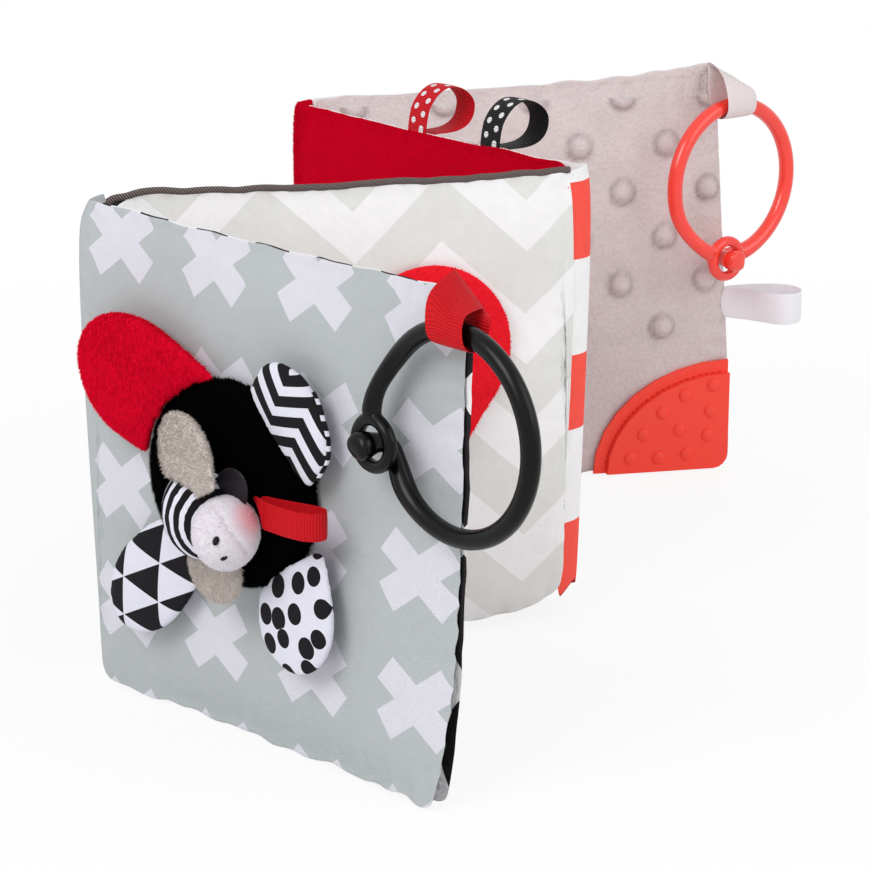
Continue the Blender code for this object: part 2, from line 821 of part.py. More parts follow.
def add_ring(name, number, hang, turns, finish, carrier):
    """A link ring in one piece: its end passes through the eye at its other end."""
    seam_turn, ring_turn, clasp_angle = turns
    outwards = ring_direction(number, ring_turn)
    front = corner_axes(number)[2]
    normal = (front - outwards * front.dot(outwards)).normalized()
    up = Vector((0, 0, 1))
    centre = hang - up * ring_radius
    axis_name = name + "_axis"
    add_frame(axis_name, carrier, Matrix.Translation(hang - seam_axes(number, seam_turn)[0]))

    def on_circle(angle, lift):
        turn = math.radians(angle)
        return centre + (outwards * math.cos(turn) + up * math.sin(turn)) * ring_radius + normal * lift

    knob_end = on_circle(clasp_angle, knob_lift)
    bend = math.degrees(neck_bend / ring_radius)
    path = [knob_end, on_circle(clasp_angle, knob_lift - knob_radius), on_circle(clasp_angle, eye_lift)]
    radii = [knob_radius, knob_radius, neck_radius]
    for share in neck_shares:
        turn = share * math.pi / 2
        path.append(on_circle(clasp_angle + bend * (1 - math.cos(turn)), neck_bend * (1 - math.sin(turn))))
        radii.append(neck_radius)
    first = clasp_angle + 3 * bend
    eye_reach = math.degrees((eye_radius + eye_tube_radius / 2) / ring_radius)
    last = clasp_angle + 360 - eye_reach
    for k in range(ring_steps + 1):
        share = k / ring_steps
        rise = max(0.0, (share - 1) / eye_rise_share + 1)
        smooth = rise * rise * (3 - 2 * rise)
        path.append(on_circle(first + (last - first) * share, eye_lift * smooth))
        radii.append(tube_radius + (eye_tube_radius - tube_radius) * smooth * 0.6)
    mesh = tube_mesh(name, path, radii, tube_sides)
    ring = add_piece(name, mesh, finish, f"page_{number + 1}", axis_name)

    eye_centre = on_circle(clasp_angle, eye_lift)
    circle = []
    for k in range(eye_steps):
        turn = math.tau * k / eye_steps
        circle.append(eye_centre + (outwards * math.cos(turn) + up * math.sin(turn)) * eye_radius)
    eye_mesh = tube_mesh(name + "_eye", circle, [eye_tube_radius] * eye_steps, eye_sides, closed=True)
    cut_with(ring, add_cutter(name + "_eye", eye_mesh, f"page_{number + 1}"), "UNION")


def body_point(along, up, height):
    """A point of the first page, given from the middle of the animal's body."""
    base = page_crown + touch_gap
    return Vector((body_centre_x + along, base + height, body_centre_z + up))


def dome_rings(shape, grown, floor):
    """Rings of the animal's body, grown or shrunk alike all round, with a tip. It returns the rim."""
    rings = []
    for share in dome_shares:
        ring = []
        height = floor + (body_height + grown - floor) * math.sqrt(1 - share ** 2)
        for k in range(dome_sides):
            turn = math.tau * k / dome_sides
            x = (body_radius_x + grown) * share * math.cos(turn)
            z = (body_radius_z + grown) * share * math.sin(turn)
            ring.append(shape.verts.new(body_point(x, z, height)))
        rings.append(ring)
    ring_skin(shape, rings)
    tip = shape.verts.new(body_point(0, 0, body_height + grown))
    for k in range(dome_sides):
        shape.faces.new((rings[-1][k], rings[-1][(k + 1) % dome_sides], tip))
    return rings[0]


def add_body(finish, filling):
    """The animal's body: a plush dome, open where it is sewn to the page, and its stuffing.

    It returns the cutter that keeps pieces clear of the body.
    """
    shape = bmesh.new()
    ring_skin(shape, [dome_rings(shape, 0.0, 0.0), dome_rings(shape, -body_wall, 0.0)])
    add_piece("critter_body_cover", finish_mesh("critter_body_cover", shape), finish, "page_1")

    shape = bmesh.new()
    shape.faces.new(dome_rings(shape, -body_wall - touch_gap, 0.0))
    add_piece("critter_body_stuffing", finish_mesh("critter_body_stuffing", shape), filling, "page_1")

    shape = bmesh.new()
    shape.faces.new(dome_rings(shape, seat_gap, -touch_gap))
    return add_cutter("body_room", finish_mesh("body_room", shape), "page_1")


def petal_outline(length, width, root_share, slant_share):
    """A limb or ear seen flat: widest past its middle, round at its tip.

    The root's width is a share of the full width, and a slant runs its line askew.
    """
    half_shares = ((0.0, root_share), (0.16, (1 + root_share) / 2), (0.36, 0.98), (0.56, 1.0),
                   (0.76, 0.84), (0.92, 0.5))
    outline = []
    for side, shares in ((1, half_shares), (0, ((1.0, 0.0),)), (-1, reversed(half_shares))):
        for u, v in shares:
            y = side * width / 2 * v
            outline.append(Vector((length * u + slant_share * y * (1 - u) ** 2, y)))
    return outline


def add_petal(table, root, hinge, slant_share, finish, larger):
    """A stuffed petal that hinges at its root, trimmed clear of the larger pieces."""
    length, width, thickness = table["size"]
    turn, rise = math.radians(table["bearing"]), math.radians(table["lift"])
    flat = Vector((math.cos(turn), 0, math.sin(turn)))
    across = Vector((-math.sin(turn), 0, math.cos(turn)))
    along = flat * math.cos(rise) + Vector((0, math.sin(rise), 0))
    outwards = Vector((0, math.cos(rise), 0)) - flat * math.sin(rise)
    thin_share, edge_share, grown_share, middle_share = petal_shares

    def lift(point, height):
        grown = min(1.0, max(0.0, point.x / (length * grown_share)))
        taper = thin_share + (1 - thin_share) * grown
        return root + along * point.x + across * point.y + outwards * height * taper

    outline = petal_outline(length, width, table["breadth_share"], slant_share)
    middle = Vector((length * middle_share, 0))
    half = thickness / 2
    mesh = pillow_mesh(table["name"], outline, middle, lift, half, half, thickness * edge_share)
    axis_name = table["name"] + "_axis"
    add_frame(axis_name, "page_1", Matrix.Translation(hinge))
    petal = add_piece(table["name"], mesh, finish, "page_1", axis_name)
    for cutter in larger:
        cut_with(petal, cutter)


def add_room(name, centre, radii):
    """A cutter that keeps smaller pieces clear of an egg-shaped one."""
    grown = [radius + seat_gap for radius in radii]
    return add_cutter(name, ball_mesh(name, centre, grown, room_segments, room_rings), "page_1")


def rim_point(angle, rim_share, height_share):
    """A point at an angle round the body, at shares of its radius and height."""
    turn = math.radians(angle)
    reach_x = body_radius_x * rim_share * math.cos(turn)
    reach_z = body_radius_z * rim_share * math.sin(turn)
    return body_point(reach_x, reach_z, body_height * height_share)


def add_limbs(finishes, body_room):
    """Four limbs round the body, which meet it or lie over its rim."""
    for table in limb_tables:
        root = rim_point(*table["root_shares"])
        hinge = rim_point(*table["hinge_shares"])
        add_petal(table, root, hinge, table["slant_share"], finishes[table["name"]], [body_room])


def add_head(fur, muzzle_fur, flap_finishes, body_room):
    """Head and muzzle, and round them two ears and a small satin flap.

    It returns the cutter that keeps pieces clear of the muzzle.
    """
    head_centre = body_point(*head_offset)
    head = add_piece("critter_head", ball_mesh("critter_head", head_centre, head_radii), fur, "page_1")
    cut_with(head, body_room)
    head_room = add_room("head_room", head_centre, head_radii)

    muzzle_centre = body_point(*muzzle_offset)
    mesh = ball_mesh("critter_muzzle", muzzle_centre, muzzle_radii)
    muzzle = add_piece("critter_muzzle", mesh, muzzle_fur, "page_1")
    cut_with(muzzle, body_room)
    cut_with(muzzle, head_room)
    muzzle_room = add_room("muzzle_room", muzzle_centre, muzzle_radii)

    larger = [body_room, head_room, muzzle_room]
    for table in flap_tables:
        shares = table["root_shares"]
        root = head_centre + Vector([radius * share for radius, share in zip(head_radii, shares)])
        add_petal(table, root, root, 0, flap_finishes[table["name"]], larger)
    return muzzle_room


def add_critter_ribbon(finish, muzzle_room):
    """A ribbon sewn to the body beside the muzzle, folded back on itself."""
    dip = math.radians(critter_ribbon_dip)
    out = Vector((-math.cos(dip), -math.sin(dip), 0))
    aside = Vector((-math.sin(dip), math.cos(dip), 0))
    axes = (out, aside, Vector((0, 0, 1)))
    sizes = (critter_ribbon_length, critter_ribbon_width, critter_ribbon_shares)
    seat = body_point(*ribbon_offset)
    beside = Vector(muzzle_offset) - Vector((muzzle_radii[0], 0, muzzle_radii[1] / 2))
    hinge = body_point(beside.x, ribbon_offset[1], beside.z)
    ribbon = add_seam_loop("critter_ribbon", 0, seat, hinge, axes, sizes, finish)
    cut_with(ribbon, muzzle_room)


def set_out_pages():
    """Frames for the folds and pages, chained from the second page."""
    add_frame("book", None, Matrix.Identity(4))
    headings = [math.radians(value) for value in page_headings]
    far_end = Matrix.Translation((page_width, 0, 0))
    strip_end = Matrix.Translation((strip_width, 0, 0))

    def turned(angle):
        return Matrix.Rotation(angle, 4, "Z")

    add_frame("page_2", "book", turned(headings[1]))
    half = (headings[1] - headings[0]) / 2
    add_frame("fold_1_axis", "page_2", turned(-half))
    add_frame("fold_1_far_edge", "fold_1_axis", strip_end.inverted())
    add_frame("page_1_axis", "fold_1_far_edge", turned(-half))
    add_frame("page_1", "page_1_axis", far_end.inverted())
    half = (headings[2] - headings[1]) / 2
    add_frame("fold_2_axis", "page_2", far_end @ turned(half))
    add_frame("page_3", "fold_2_axis", strip_end @ turned(half))
    half = (headings[3] - headings[2]) / 2
    add_frame("fold_3_axis", "page_3", far_end @ turned(half))
    add_frame("page_4", "fold_3_axis", strip_end @ turned(half))


def centre_on_floor():
    """Move the whole book so that its box stands centred on the origin."""
    bpy.context.view_layer.update()
    depsgraph = bpy.context.evaluated_depsgraph_get()
    points = []
    for thing in bpy.context.scene.objects:
        if thing.type != "MESH" or thing.hide_render:
            continue
        seen = thing.evaluated_get(depsgraph)
        points += [seen.matrix_world @ vertex.co for vertex in seen.data.vertices]
    low = [min(point[i] for point in points) for i in range(3)]
    high = [max(point[i] for point in points) for i in range(3)]
    middle = Vector(((low[0] + high[0]) / 2, (low[1] + high[1]) / 2, low[2]))
    frames["book"][0].matrix_basis = Matrix.Translation(-middle)


def main():
    remove_everything()
    cloth_grey = make_material("cross_cloth", (0.52, 0.56, 0.55), 0.85)
    cloth_white = make_material("white_cloth", (0.85, 0.85, 0.86), 0.85)
    cloth_chevron = make_material("chevron_cloth", (0.66, 0.67, 0.65), 0.85)
    plush_charcoal = make_material("charcoal_plush", (0.05, 0.05, 0.055), 0.95)
    cloth_dots = make_material("dotted_cloth", (0.86, 0.55, 0.53), 0.85)
    plush_red = make_material("red_plush", (0.60, 0.01, 0.02), 0.95)
    plush_grey = make_material("grey_plush", (0.56, 0.53, 0.53), 0.95)
    plush_black = make_material("black_plush", (0.01, 0.01, 0.01), 0.95)
    plush_white = make_material("white_plush", (0.85, 0.83, 0.83), 0.95)
    plush_taupe = make_material("taupe_plush", (0.46, 0.40, 0.36), 0.95)
    cloth_stripes = make_material("striped_cloth", (0.30, 0.30, 0.31), 0.85)
    satin = make_material("satin", (0.05, 0.045, 0.05), 0.4)
    plastic_black = make_material("black_plastic", (0.012, 0.011, 0.010), 0.35)
    plastic_red = make_material("red_plastic", (0.90, 0.06, 0.04), 0.3)
    silicone = make_material("silicone", (0.90, 0.07, 0.05), 0.5)
    ribbon_red = make_material("red_ribbon", (0.75, 0.02, 0.02), 0.7)
    ribbon_black = make_material("black_ribbon", (0.015, 0.015, 0.015), 0.7)
    ribbon_grey = make_material("grey_ribbon", (0.60, 0.57, 0.57), 0.7)
    ribbon_white = make_material("white_ribbon", (0.88, 0.88, 0.90), 0.45)
    film = make_material("film", (0.75, 0.77, 0.80), 0.2)
    wadding = make_material("wadding", (0.90, 0.90, 0.88), 1.0)

    set_out_pages()
    covers = (
        (cloth_grey, cloth_white),
        (plush_charcoal, cloth_chevron),
        (plush_red, cloth_dots),
        (cloth_white, plush_grey),
    )
    for number, (front, back) in enumerate(covers):
        add_cover(number, 1, f"page_{number + 1}_front_cover", front)
        add_cover(number, -1, f"page_{number + 1}_back_cover", back)
        add_filling(number, (film, wadding))
    strips = (
        ("fold_1_far_edge", 1, cloth_grey),
        ("fold_2_axis", -1, cloth_dots),
        ("fold_3_axis", 1, plush_red),
    )
    for number, (frame, side, finish) in enumerate(strips):
        add_strip(number, frame, side, finish)

    heart = heart_outline()
    edge = heart_thickness * heart_edge_share
    add_applique("heart_applique", 1, -1, heart, heart_thickness, edge, plush_red)
    star = star_outline()
    edge = star_thickness * star_edge_share
    add_applique("star_applique", 2, 1, star, star_thickness, edge, plush_white)
    add_teether(silicone)

    rings = (
        ("black_ring", 0, (black_hang_out, black_hang_front), plastic_black, ribbon_red,
         (black_strap_turn, black_ring_turn, black_clasp_angle)),
        ("red_ring", 3, (red_hang_out, red_hang_front), plastic_red, ribbon_grey,
         (red_strap_turn, red_ring_turn, red_clasp_angle)),
    )
    for name, number, place, finish, strap_finish, turns in rings:
        hang = hang_point(number, *place)
        add_strap(name + "_strap", number, hang, turns[:2], strap_finish)
        add_ring(name, number, hang, turns, finish, name + "_strap_axis")

    aside = Vector((0, -1, 0))
    axes = (Vector((0, 0, 1)), aside, Vector((1, 0, 0)))
    sizes = (loop_length, loop_width, loop_shares)
    seats = (
        ("red_ribbon_loop", red_loop_x, ribbon_red),
        ("black_ribbon_loop", black_loop_x, ribbon_black),
    )
    for name, x, finish in seats:
        seat = Vector((x, 0, page_top(2, x) + seat_gap))
        add_seam_loop(name, 2, seat, seat, axes, sizes, finish)
    axes = (Vector((1, 0, 0)), aside, Vector((0, 0, 1)))
    low = teether_foot + teether_height
    high = page_height - hang_drop - 2 * ring_radius - tube_radius
    height = low + (high - low) * tag_height_share
    edge = page_plan(3, 1, (height - tag_width / 2) / page_height)[0]
    seat = Vector((edge + seat_gap, 0, height))
    sizes = (tag_length, tag_width, tag_shares)
    add_seam_loop("white_tag_loop", 3, seat, seat, axes, sizes, ribbon_white)

    body_room = add_body(plush_black, wadding)
    limb_finishes = {
        "critter_red_limb": plush_red,
        "critter_zigzag_limb": cloth_stripes,
        "critter_dotted_limb": cloth_white,
        "critter_triangle_limb": cloth_white,
    }
    add_limbs(limb_finishes, body_room)
    flap_finishes = {
        "critter_upper_ear": plush_taupe,
        "critter_lower_ear": plush_taupe,
        "critter_satin_flap": satin,
    }
    muzzle_room = add_head(cloth_stripes, plush_white, flap_finishes, body_room)
    add_critter_ribbon(ribbon_red, muzzle_room)
    centre_on_floor()


main()
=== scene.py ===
# %% [markdown]
# # A crinkle cloth book
# A baby's soft book stands half open: four padded pages, a stuffed animal, link rings, ribbon
# loops and a teether. The solids give each piece its place. Here every piece gets its cloth,
# its plush or its plastic, one cell at a time.

import heapq
import json
import math
import random

import bpy
import numpy as np
from mathutils import Matrix, Vector, noise
from mathutils.bvhtree import BVHTree


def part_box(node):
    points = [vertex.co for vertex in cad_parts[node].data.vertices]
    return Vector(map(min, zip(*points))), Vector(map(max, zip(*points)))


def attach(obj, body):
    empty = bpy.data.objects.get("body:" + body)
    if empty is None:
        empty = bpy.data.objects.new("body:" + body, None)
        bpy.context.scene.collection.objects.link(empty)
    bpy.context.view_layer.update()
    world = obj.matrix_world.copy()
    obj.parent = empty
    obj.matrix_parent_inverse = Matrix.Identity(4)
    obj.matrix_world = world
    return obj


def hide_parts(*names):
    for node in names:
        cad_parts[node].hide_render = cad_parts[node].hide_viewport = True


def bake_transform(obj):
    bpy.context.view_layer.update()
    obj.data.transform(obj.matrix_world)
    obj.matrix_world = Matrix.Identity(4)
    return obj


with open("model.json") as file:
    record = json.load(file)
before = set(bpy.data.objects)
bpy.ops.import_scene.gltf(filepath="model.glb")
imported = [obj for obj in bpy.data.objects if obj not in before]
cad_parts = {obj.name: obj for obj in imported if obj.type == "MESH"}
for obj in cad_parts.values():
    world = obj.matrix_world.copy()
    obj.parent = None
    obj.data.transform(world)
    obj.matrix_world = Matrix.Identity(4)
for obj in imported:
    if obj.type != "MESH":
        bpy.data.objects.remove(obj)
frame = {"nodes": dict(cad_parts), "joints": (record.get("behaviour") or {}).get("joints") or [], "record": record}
scene = bpy.context.scene
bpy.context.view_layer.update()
MM = 0.001

# %% [markdown]
# A page stands upright and runs in its own direction. Work on a page is far easier in its own
# axes: x along the page, y out of its face, z up. The folds' places come with the model, so
# each page's frame can be worked out from them.

# %% The four page frames
hinges = {joint["name"]: Vector(joint["pos_m"]) for joint in frame["joints"] if "pos_m" in joint}
PAGE_WIDTH = 161 * MM
PAGE_TOP = 160 * MM
HEADINGS = [math.radians(value) for value in (137.3, 18.8, 128.8, 13.3)]


def heading_vector(angle):
    return Vector((math.cos(angle), math.sin(angle), 0))


page_origins = [
    hinges["fold_1_page"] - heading_vector(HEADINGS[0]) * PAGE_WIDTH,
    hinges["fold_1_strip"],
    hinges["fold_2_page"],
    hinges["fold_3_page"],
]
pages = [
    Matrix.Translation(origin) @ Matrix.Rotation(heading, 4, "Z")
    for origin, heading in zip(page_origins, HEADINGS)
]
print("page feet at", [tuple(round(v, 3) for v in origin) for origin in page_origins])

# %% [markdown]
# The camera stands where the photographer stood, a metre in front and a little above. A long
# lens keeps the pages' edges nearly parallel.

# %% Camera
camera = bpy.data.objects.new("camera", bpy.data.cameras.new("camera"))
scene.collection.objects.link(camera)
camera.data.sensor_width = 36
camera.data.lens = 126.33
camera.data.clip_start = 0.05
camera.data.clip_end = 20
CAMERA_PLACE = page_origins[1] + Vector((0.1061, -0.9533, 0.3574))
camera.matrix_world = (
    Matrix.Translation(CAMERA_PLACE)
    @ Matrix.Rotation(math.radians(90 - 16.16), 4, "X")
    @ Matrix.Rotation(math.radians(0.24), 4, "Z")
)
scene.camera = camera
bpy.context.view_layer.update()


def sight(px, py):
    """Where the line of sight through a point of the 870 by 870 picture starts, and its direction."""
    across = (px - 435) / 870 * 36
    up = -(py - 435) / 870 * 36
    direction = camera.matrix_world.to_3x3() @ Vector((across, up, -camera.data.lens))
    return CAMERA_PLACE, direction.normalized()


def in_picture(point):
    """Where a point shows in the 870 by 870 picture."""
    spot = camera.matrix_world.inverted() @ point
    scale = camera.data.lens / 36 * 870
    return 435 + spot.x / -spot.z * scale, 435 - spot.y / -spot.z * scale


# %% [markdown]
# The floor is plain and pale. It shows white to the camera and still takes a soft shadow: its
# shader mixes a little plain diffuse white into a white that only camera rays see. The light is
# that of a small studio: a big soft box on the left, a weaker one on the right, and a bright
# room all round.

# %% Floor, room and lamps
bpy.ops.mesh.primitive_plane_add(size=8, location=(0, 0, -0.0002))
floor = bpy.context.active_object
floor.name = "floor"
floor_finish = bpy.data.materials.new("floor_white")
floor_finish.use_nodes = True
tree = floor_finish.node_tree
tree.nodes.clear()
paper = tree.nodes.new("ShaderNodeBsdfDiffuse")
paper.inputs["Color"].default_value = (0.96, 0.96, 0.96, 1)
glow = tree.nodes.new("ShaderNodeEmission")
rays = tree.nodes.new("ShaderNodeLightPath")
seen = tree.nodes.new("ShaderNodeMath")
seen.operation = "MAXIMUM"
place = tree.nodes.new("ShaderNodeTexCoord")
far = tree.nodes.new("ShaderNodeVectorMath")
far.operation = "LENGTH"
whiter = tree.nodes.new("ShaderNodeMapRange")
whiter.inputs["From Min"].default_value = 0.15
whiter.inputs["From Max"].default_value = 0.6
whiter.inputs["To Min"].default_value = 0.86
whiter.inputs["To Max"].default_value = 1.0
share = tree.nodes.new("ShaderNodeMath")
share.operation = "MULTIPLY"
mixed = tree.nodes.new("ShaderNodeMixShader")
output = tree.nodes.new("ShaderNodeOutputMaterial")
tree.links.new(rays.outputs["Is Camera Ray"], seen.inputs[0])
tree.links.new(rays.outputs["Is Glossy Ray"], seen.inputs[1])
tree.links.new(place.outputs["Object"], far.inputs[0])
tree.links.new(far.outputs["Value"], whiter.inputs["Value"])
tree.links.new(seen.outputs[0], share.inputs[0])
tree.links.new(whiter.outputs["Result"], share.inputs[1])
tree.links.new(share.outputs[0], mixed.inputs["Fac"])
tree.links.new(paper.outputs[0], mixed.inputs[1])
tree.links.new(glow.outputs[0], mixed.inputs[2])
tree.links.new(mixed.outputs[0], output.inputs["Surface"])
floor.data.materials.append(floor_finish)

world = bpy.data.worlds.new("room")
scene.world = world
world.use_nodes = True
tree = world.node_tree
room = tree.nodes["Background"]
room.inputs["Color"].default_value = (1, 1, 1, 1)
rays = tree.nodes.new("ShaderNodeLightPath")
seen = tree.nodes.new("ShaderNodeMath")
seen.operation = "MAXIMUM"
strength = tree.nodes.new("ShaderNodeMapRange")
strength.inputs["To Min"].default_value = 0.62
strength.inputs["To Max"].default_value = 1.0
tree.links.new(rays.outputs["Is Camera Ray"], seen.inputs[0])
tree.links.new(rays.outputs["Is Glossy Ray"], seen.inputs[1])
tree.links.new(seen.outputs[0], strength.inputs["Value"])
tree.links.new(strength.outputs["Result"], room.inputs["Strength"])


def soft_box(name, place, target, size, power):
    """A square lamp that faces a point."""
    lamp = bpy.data.objects.new(name, bpy.data.lights.new(name, "AREA"))
    lamp.data.size = size
    lamp.data.energy = power
    lamp.location = place
    lamp.rotation_mode = "QUATERNION"
    lamp.rotation_quaternion = (Vector(target) - Vector(place)).to_track_quat("-Z", "Y")
    scene.collection.objects.link(lamp)


soft_box("soft_box_left", (-0.75, -0.95, 1.0), (0, 0, 0.06), 0.7, 9.5)
soft_box("soft_box_right", (0.9, -0.5, 0.7), (0, 0, 0.06), 0.8, 3.5)
scene.view_settings.view_transform = "Standard"

# %% [markdown]
# Cloth is the theme of this book, so three effects come back in many finishes: a weave, a
# plush pile and the ribs of a grosgrain ribbon. Each is a node group, made once.

# %% Short calls for shader nodes


def put(tree, kind, inputs=None, **settings):
    """Add a node, set it up and plug values or sockets into its inputs."""
    made = tree.nodes.new("ShaderNode" + kind)
    for key, value in settings.items():
        setattr(made, key, value)
    for key, value in (inputs or {}).items():
        if isinstance(value, bpy.types.NodeSocket):
            tree.links.new(value, made.inputs[key])
        else:
            made.inputs[key].default_value = value
    return made


def calc(tree, operation, *values):
    """One step of arithmetic on numbers or sockets."""
    return put(tree, "Math", dict(enumerate(values)), operation=operation).outputs[0]


def tint(tree, amount, first, second):
    """A colour that goes from the first to the second as the amount goes from 0 to 1."""
    made = put(tree, "Mix", {0: amount, 6: first, 7: second}, data_type="RGBA")
    return made.outputs[2]


def ink(red, green, blue):
    """A colour as seen on screen, from 0 to 255, in the shader's own scale."""
    parts = [value / 255 for value in (red, green, blue)]
    return (*[p / 12.92 if p <= 0.04045 else ((p + 0.055) / 1.055) ** 2.4 for p in parts], 1)


# %% Weave, pile and ribs


def effect(name, inputs, outputs):
    """An empty node group with named number sockets and a vector."""
    group = bpy.data.node_groups.new(name, "ShaderNodeTree")
    group.interface.new_socket("Vector", in_out="INPUT", socket_type="NodeSocketVector")
    for label, value in inputs.items():
        socket = group.interface.new_socket(label, in_out="INPUT", socket_type="NodeSocketFloat")
        socket.default_value = value
    for label in outputs:
        group.interface.new_socket(label, in_out="OUTPUT", socket_type="NodeSocketFloat")
    return group, group.nodes.new("NodeGroupInput"), group.nodes.new("NodeGroupOutput")


weave, given, result = effect("weave", {"Pitch": 0.7 * MM}, ("Height", "Shade"))
parts = put(weave, "SeparateXYZ", {0: given.outputs["Vector"]})
turn = calc(weave, "DIVIDE", math.tau, given.outputs["Pitch"])
threads = [calc(weave, "SINE", calc(weave, "MULTIPLY", parts.outputs[axis], turn)) for axis in (0, 2)]
crossing = calc(weave, "MULTIPLY", threads[0], threads[1])
slub = put(weave, "TexNoise", {"Vector": given.outputs["Vector"], "Scale": 260, "Detail": 3})
uneven = calc(weave, "MULTIPLY_ADD", slub.outputs[0], 1.3, crossing)
weave.links.new(uneven, result.inputs["Height"])
weave.links.new(slub.outputs[0], result.inputs["Shade"])

pile, given, result = effect("pile", {"Length": 1.2 * MM}, ("Height", "Shade"))
size = calc(pile, "DIVIDE", 1.0, given.outputs["Length"])
broad = calc(pile, "MULTIPLY", size, 0.12)
hairs = put(pile, "TexNoise", {"Vector": given.outputs["Vector"], "Scale": size,
                               "Detail": 3, "Roughness": 0.65})
lay = put(pile, "TexNoise", {"Vector": given.outputs["Vector"], "Scale": broad, "Detail": 2})
strand = calc(pile, "MULTIPLY_ADD", lay.outputs[0], 0.8, hairs.outputs[0])
pile.links.new(strand, result.inputs["Height"])
pile.links.new(calc(pile, "MULTIPLY", strand, 0.55), result.inputs["Shade"])

ribs, given, result = effect("ribs", {"Pitch": 0.9 * MM}, ("Height", "Shade"))
parts = put(ribs, "SeparateXYZ", {0: given.outputs["Vector"]})
turn = calc(ribs, "DIVIDE", math.pi, given.outputs["Pitch"])
cord = calc(ribs, "ABSOLUTE", calc(ribs, "SINE", calc(ribs, "MULTIPLY", parts.outputs[0], turn)))
ribs.links.new(cord, result.inputs["Height"])
ribs.links.new(cord, result.inputs["Shade"])

# %% [markdown]
# A finish is a colour, an effect that roughens it, and the numbers of the shader: how rough,
# how glossy. The colour can be plain, or a print made of simple shapes in the page's own
# axes, so that it lies on the cloth as a real print does.

# %% One way to make every finish


def finish(name, effect_group, coords, colour, roughness=0.8, depth=0.2 * MM, shade=0.12,
           effect_values=None, coat=0.0, gloss=0.2):
    """A material. coords(tree) gives the place on the piece, and colour may be a function of it."""
    made = bpy.data.materials.new(name)
    made.use_nodes = True
    tree = made.node_tree
    shader = tree.nodes["Principled BSDF"]
    place = coords(tree)
    paint = colour(tree, place) if callable(colour) else colour
    if effect_group is not None:
        surface = put(tree, "Group", node_tree=effect_group)
        tree.links.new(place, surface.inputs["Vector"])
        for key, value in (effect_values or {}).items():
            surface.inputs[key].default_value = value
        darkening = calc(tree, "MULTIPLY_ADD", surface.outputs["Shade"], shade * 2, 1 - shade)
        if not isinstance(paint, bpy.types.NodeSocket):
            paint = put(tree, "RGB").outputs[0]
            paint.default_value = colour
        paint = put(tree, "Mix", {0: 1.0, 6: paint, 7: darkening},
                    data_type="RGBA", blend_type="MULTIPLY").outputs[2]
        bump = put(tree, "Bump", {"Height": surface.outputs["Height"], "Strength": 1.0, "Distance": depth})
        tree.links.new(bump.outputs[0], shader.inputs["Normal"])
    if isinstance(paint, bpy.types.NodeSocket):
        tree.links.new(paint, shader.inputs["Base Color"])
    else:
        shader.inputs["Base Color"].default_value = paint
    shader.inputs["Roughness"].default_value = roughness
    shader.inputs["Specular IOR Level"].default_value = gloss
    shader.inputs["Coat Weight"].default_value = coat
    shader.inputs["Coat Roughness"].default_value = 0.12
    return made


def on_page(number):
    """The page's own axes as texture coordinates."""
    def coords(tree):
        spot = put(tree, "TexCoord").outputs["Object"]
        turned = put(tree, "Mapping", {"Vector": spot, "Location": page_origins[number],
                                       "Rotation": (0, 0, HEADINGS[number])}, vector_type="TEXTURE")
        return turned.outputs[0]
    return coords


def on_limb(number, root, bearing):
    """Axes that run along a limb of the animal: x towards its tip."""
    def coords(tree):
        flat = on_page(number)(tree)
        turned = put(tree, "Mapping", {"Vector": flat, "Location": root,
                                       "Rotation": (0, -math.radians(bearing), 0)}, vector_type="TEXTURE")
        return turned.outputs[0]
    return coords


def as_it_lies(tree):
    return put(tree, "TexCoord").outputs["Object"]


def along_ribbon(tree):
    """x along a ribbon and y across it, from the piece's own attributes."""
    run = put(tree, "Attribute", attribute_name="along")
    side = put(tree, "Attribute", attribute_name="across")
    return put(tree, "CombineXYZ", {0: run.outputs["Fac"], 1: side.outputs["Fac"]}).outputs[0]


def cell(tree, value, pitch, start):
    """Distance from the middle of the nearest of many equal cells."""
    moved = calc(tree, "SUBTRACT", value, start)
    shares = calc(tree, "DIVIDE", moved, pitch)
    return calc(tree, "MULTIPLY", calc(tree, "SUBTRACT", shares, calc(tree, "ROUND", shares)), pitch)


# %% [markdown]
# The front page has white crosses on grey-green cloth. A cross is two short bars that tilt
# 37 degrees either way, in cells of 43 by 40 mm.

# %% Prints of the pages
PAPER_WHITE = ink(216, 215, 224)
CLOTH_GREEN = ink(181, 186, 188)
CORAL = ink(252, 88, 76)
CROSS_TILT = math.radians(37)
NEAR_BLACK = ink(38, 36, 38)


def cross_print(tree, place):
    parts = put(tree, "SeparateXYZ", {0: place}).outputs
    row = calc(tree, "ROUND", calc(tree, "DIVIDE", calc(tree, "SUBTRACT", parts[2], 31 * MM), 40 * MM))
    from_second = calc(tree, "ABSOLUTE", calc(tree, "SUBTRACT", row, 2.0))
    second = calc(tree, "MAXIMUM", calc(tree, "SUBTRACT", 1.0, from_second), 0.0)
    slid = calc(tree, "MULTIPLY_ADD", second, 5 * MM, parts[0])
    u = cell(tree, slid, 43 * MM, 16.5 * MM)
    v = cell(tree, parts[2], 40 * MM, 31 * MM)
    masks = []
    for way in (1, -1):
        along, aside = math.cos(CROSS_TILT * way), math.sin(CROSS_TILT * way)
        p = calc(tree, "ADD", calc(tree, "MULTIPLY", u, along), calc(tree, "MULTIPLY", v, aside))
        q = calc(tree, "SUBTRACT", calc(tree, "MULTIPLY", v, along), calc(tree, "MULTIPLY", u, aside))
        inside = calc(tree, "MULTIPLY", calc(tree, "LESS_THAN", calc(tree, "ABSOLUTE", p), 15 * MM),
                      calc(tree, "LESS_THAN", calc(tree, "ABSOLUTE", q), 4.9 * MM))
        masks.append(inside)
    return tint(tree, calc(tree, "MAXIMUM", *masks), CLOTH_GREEN, PAPER_WHITE)


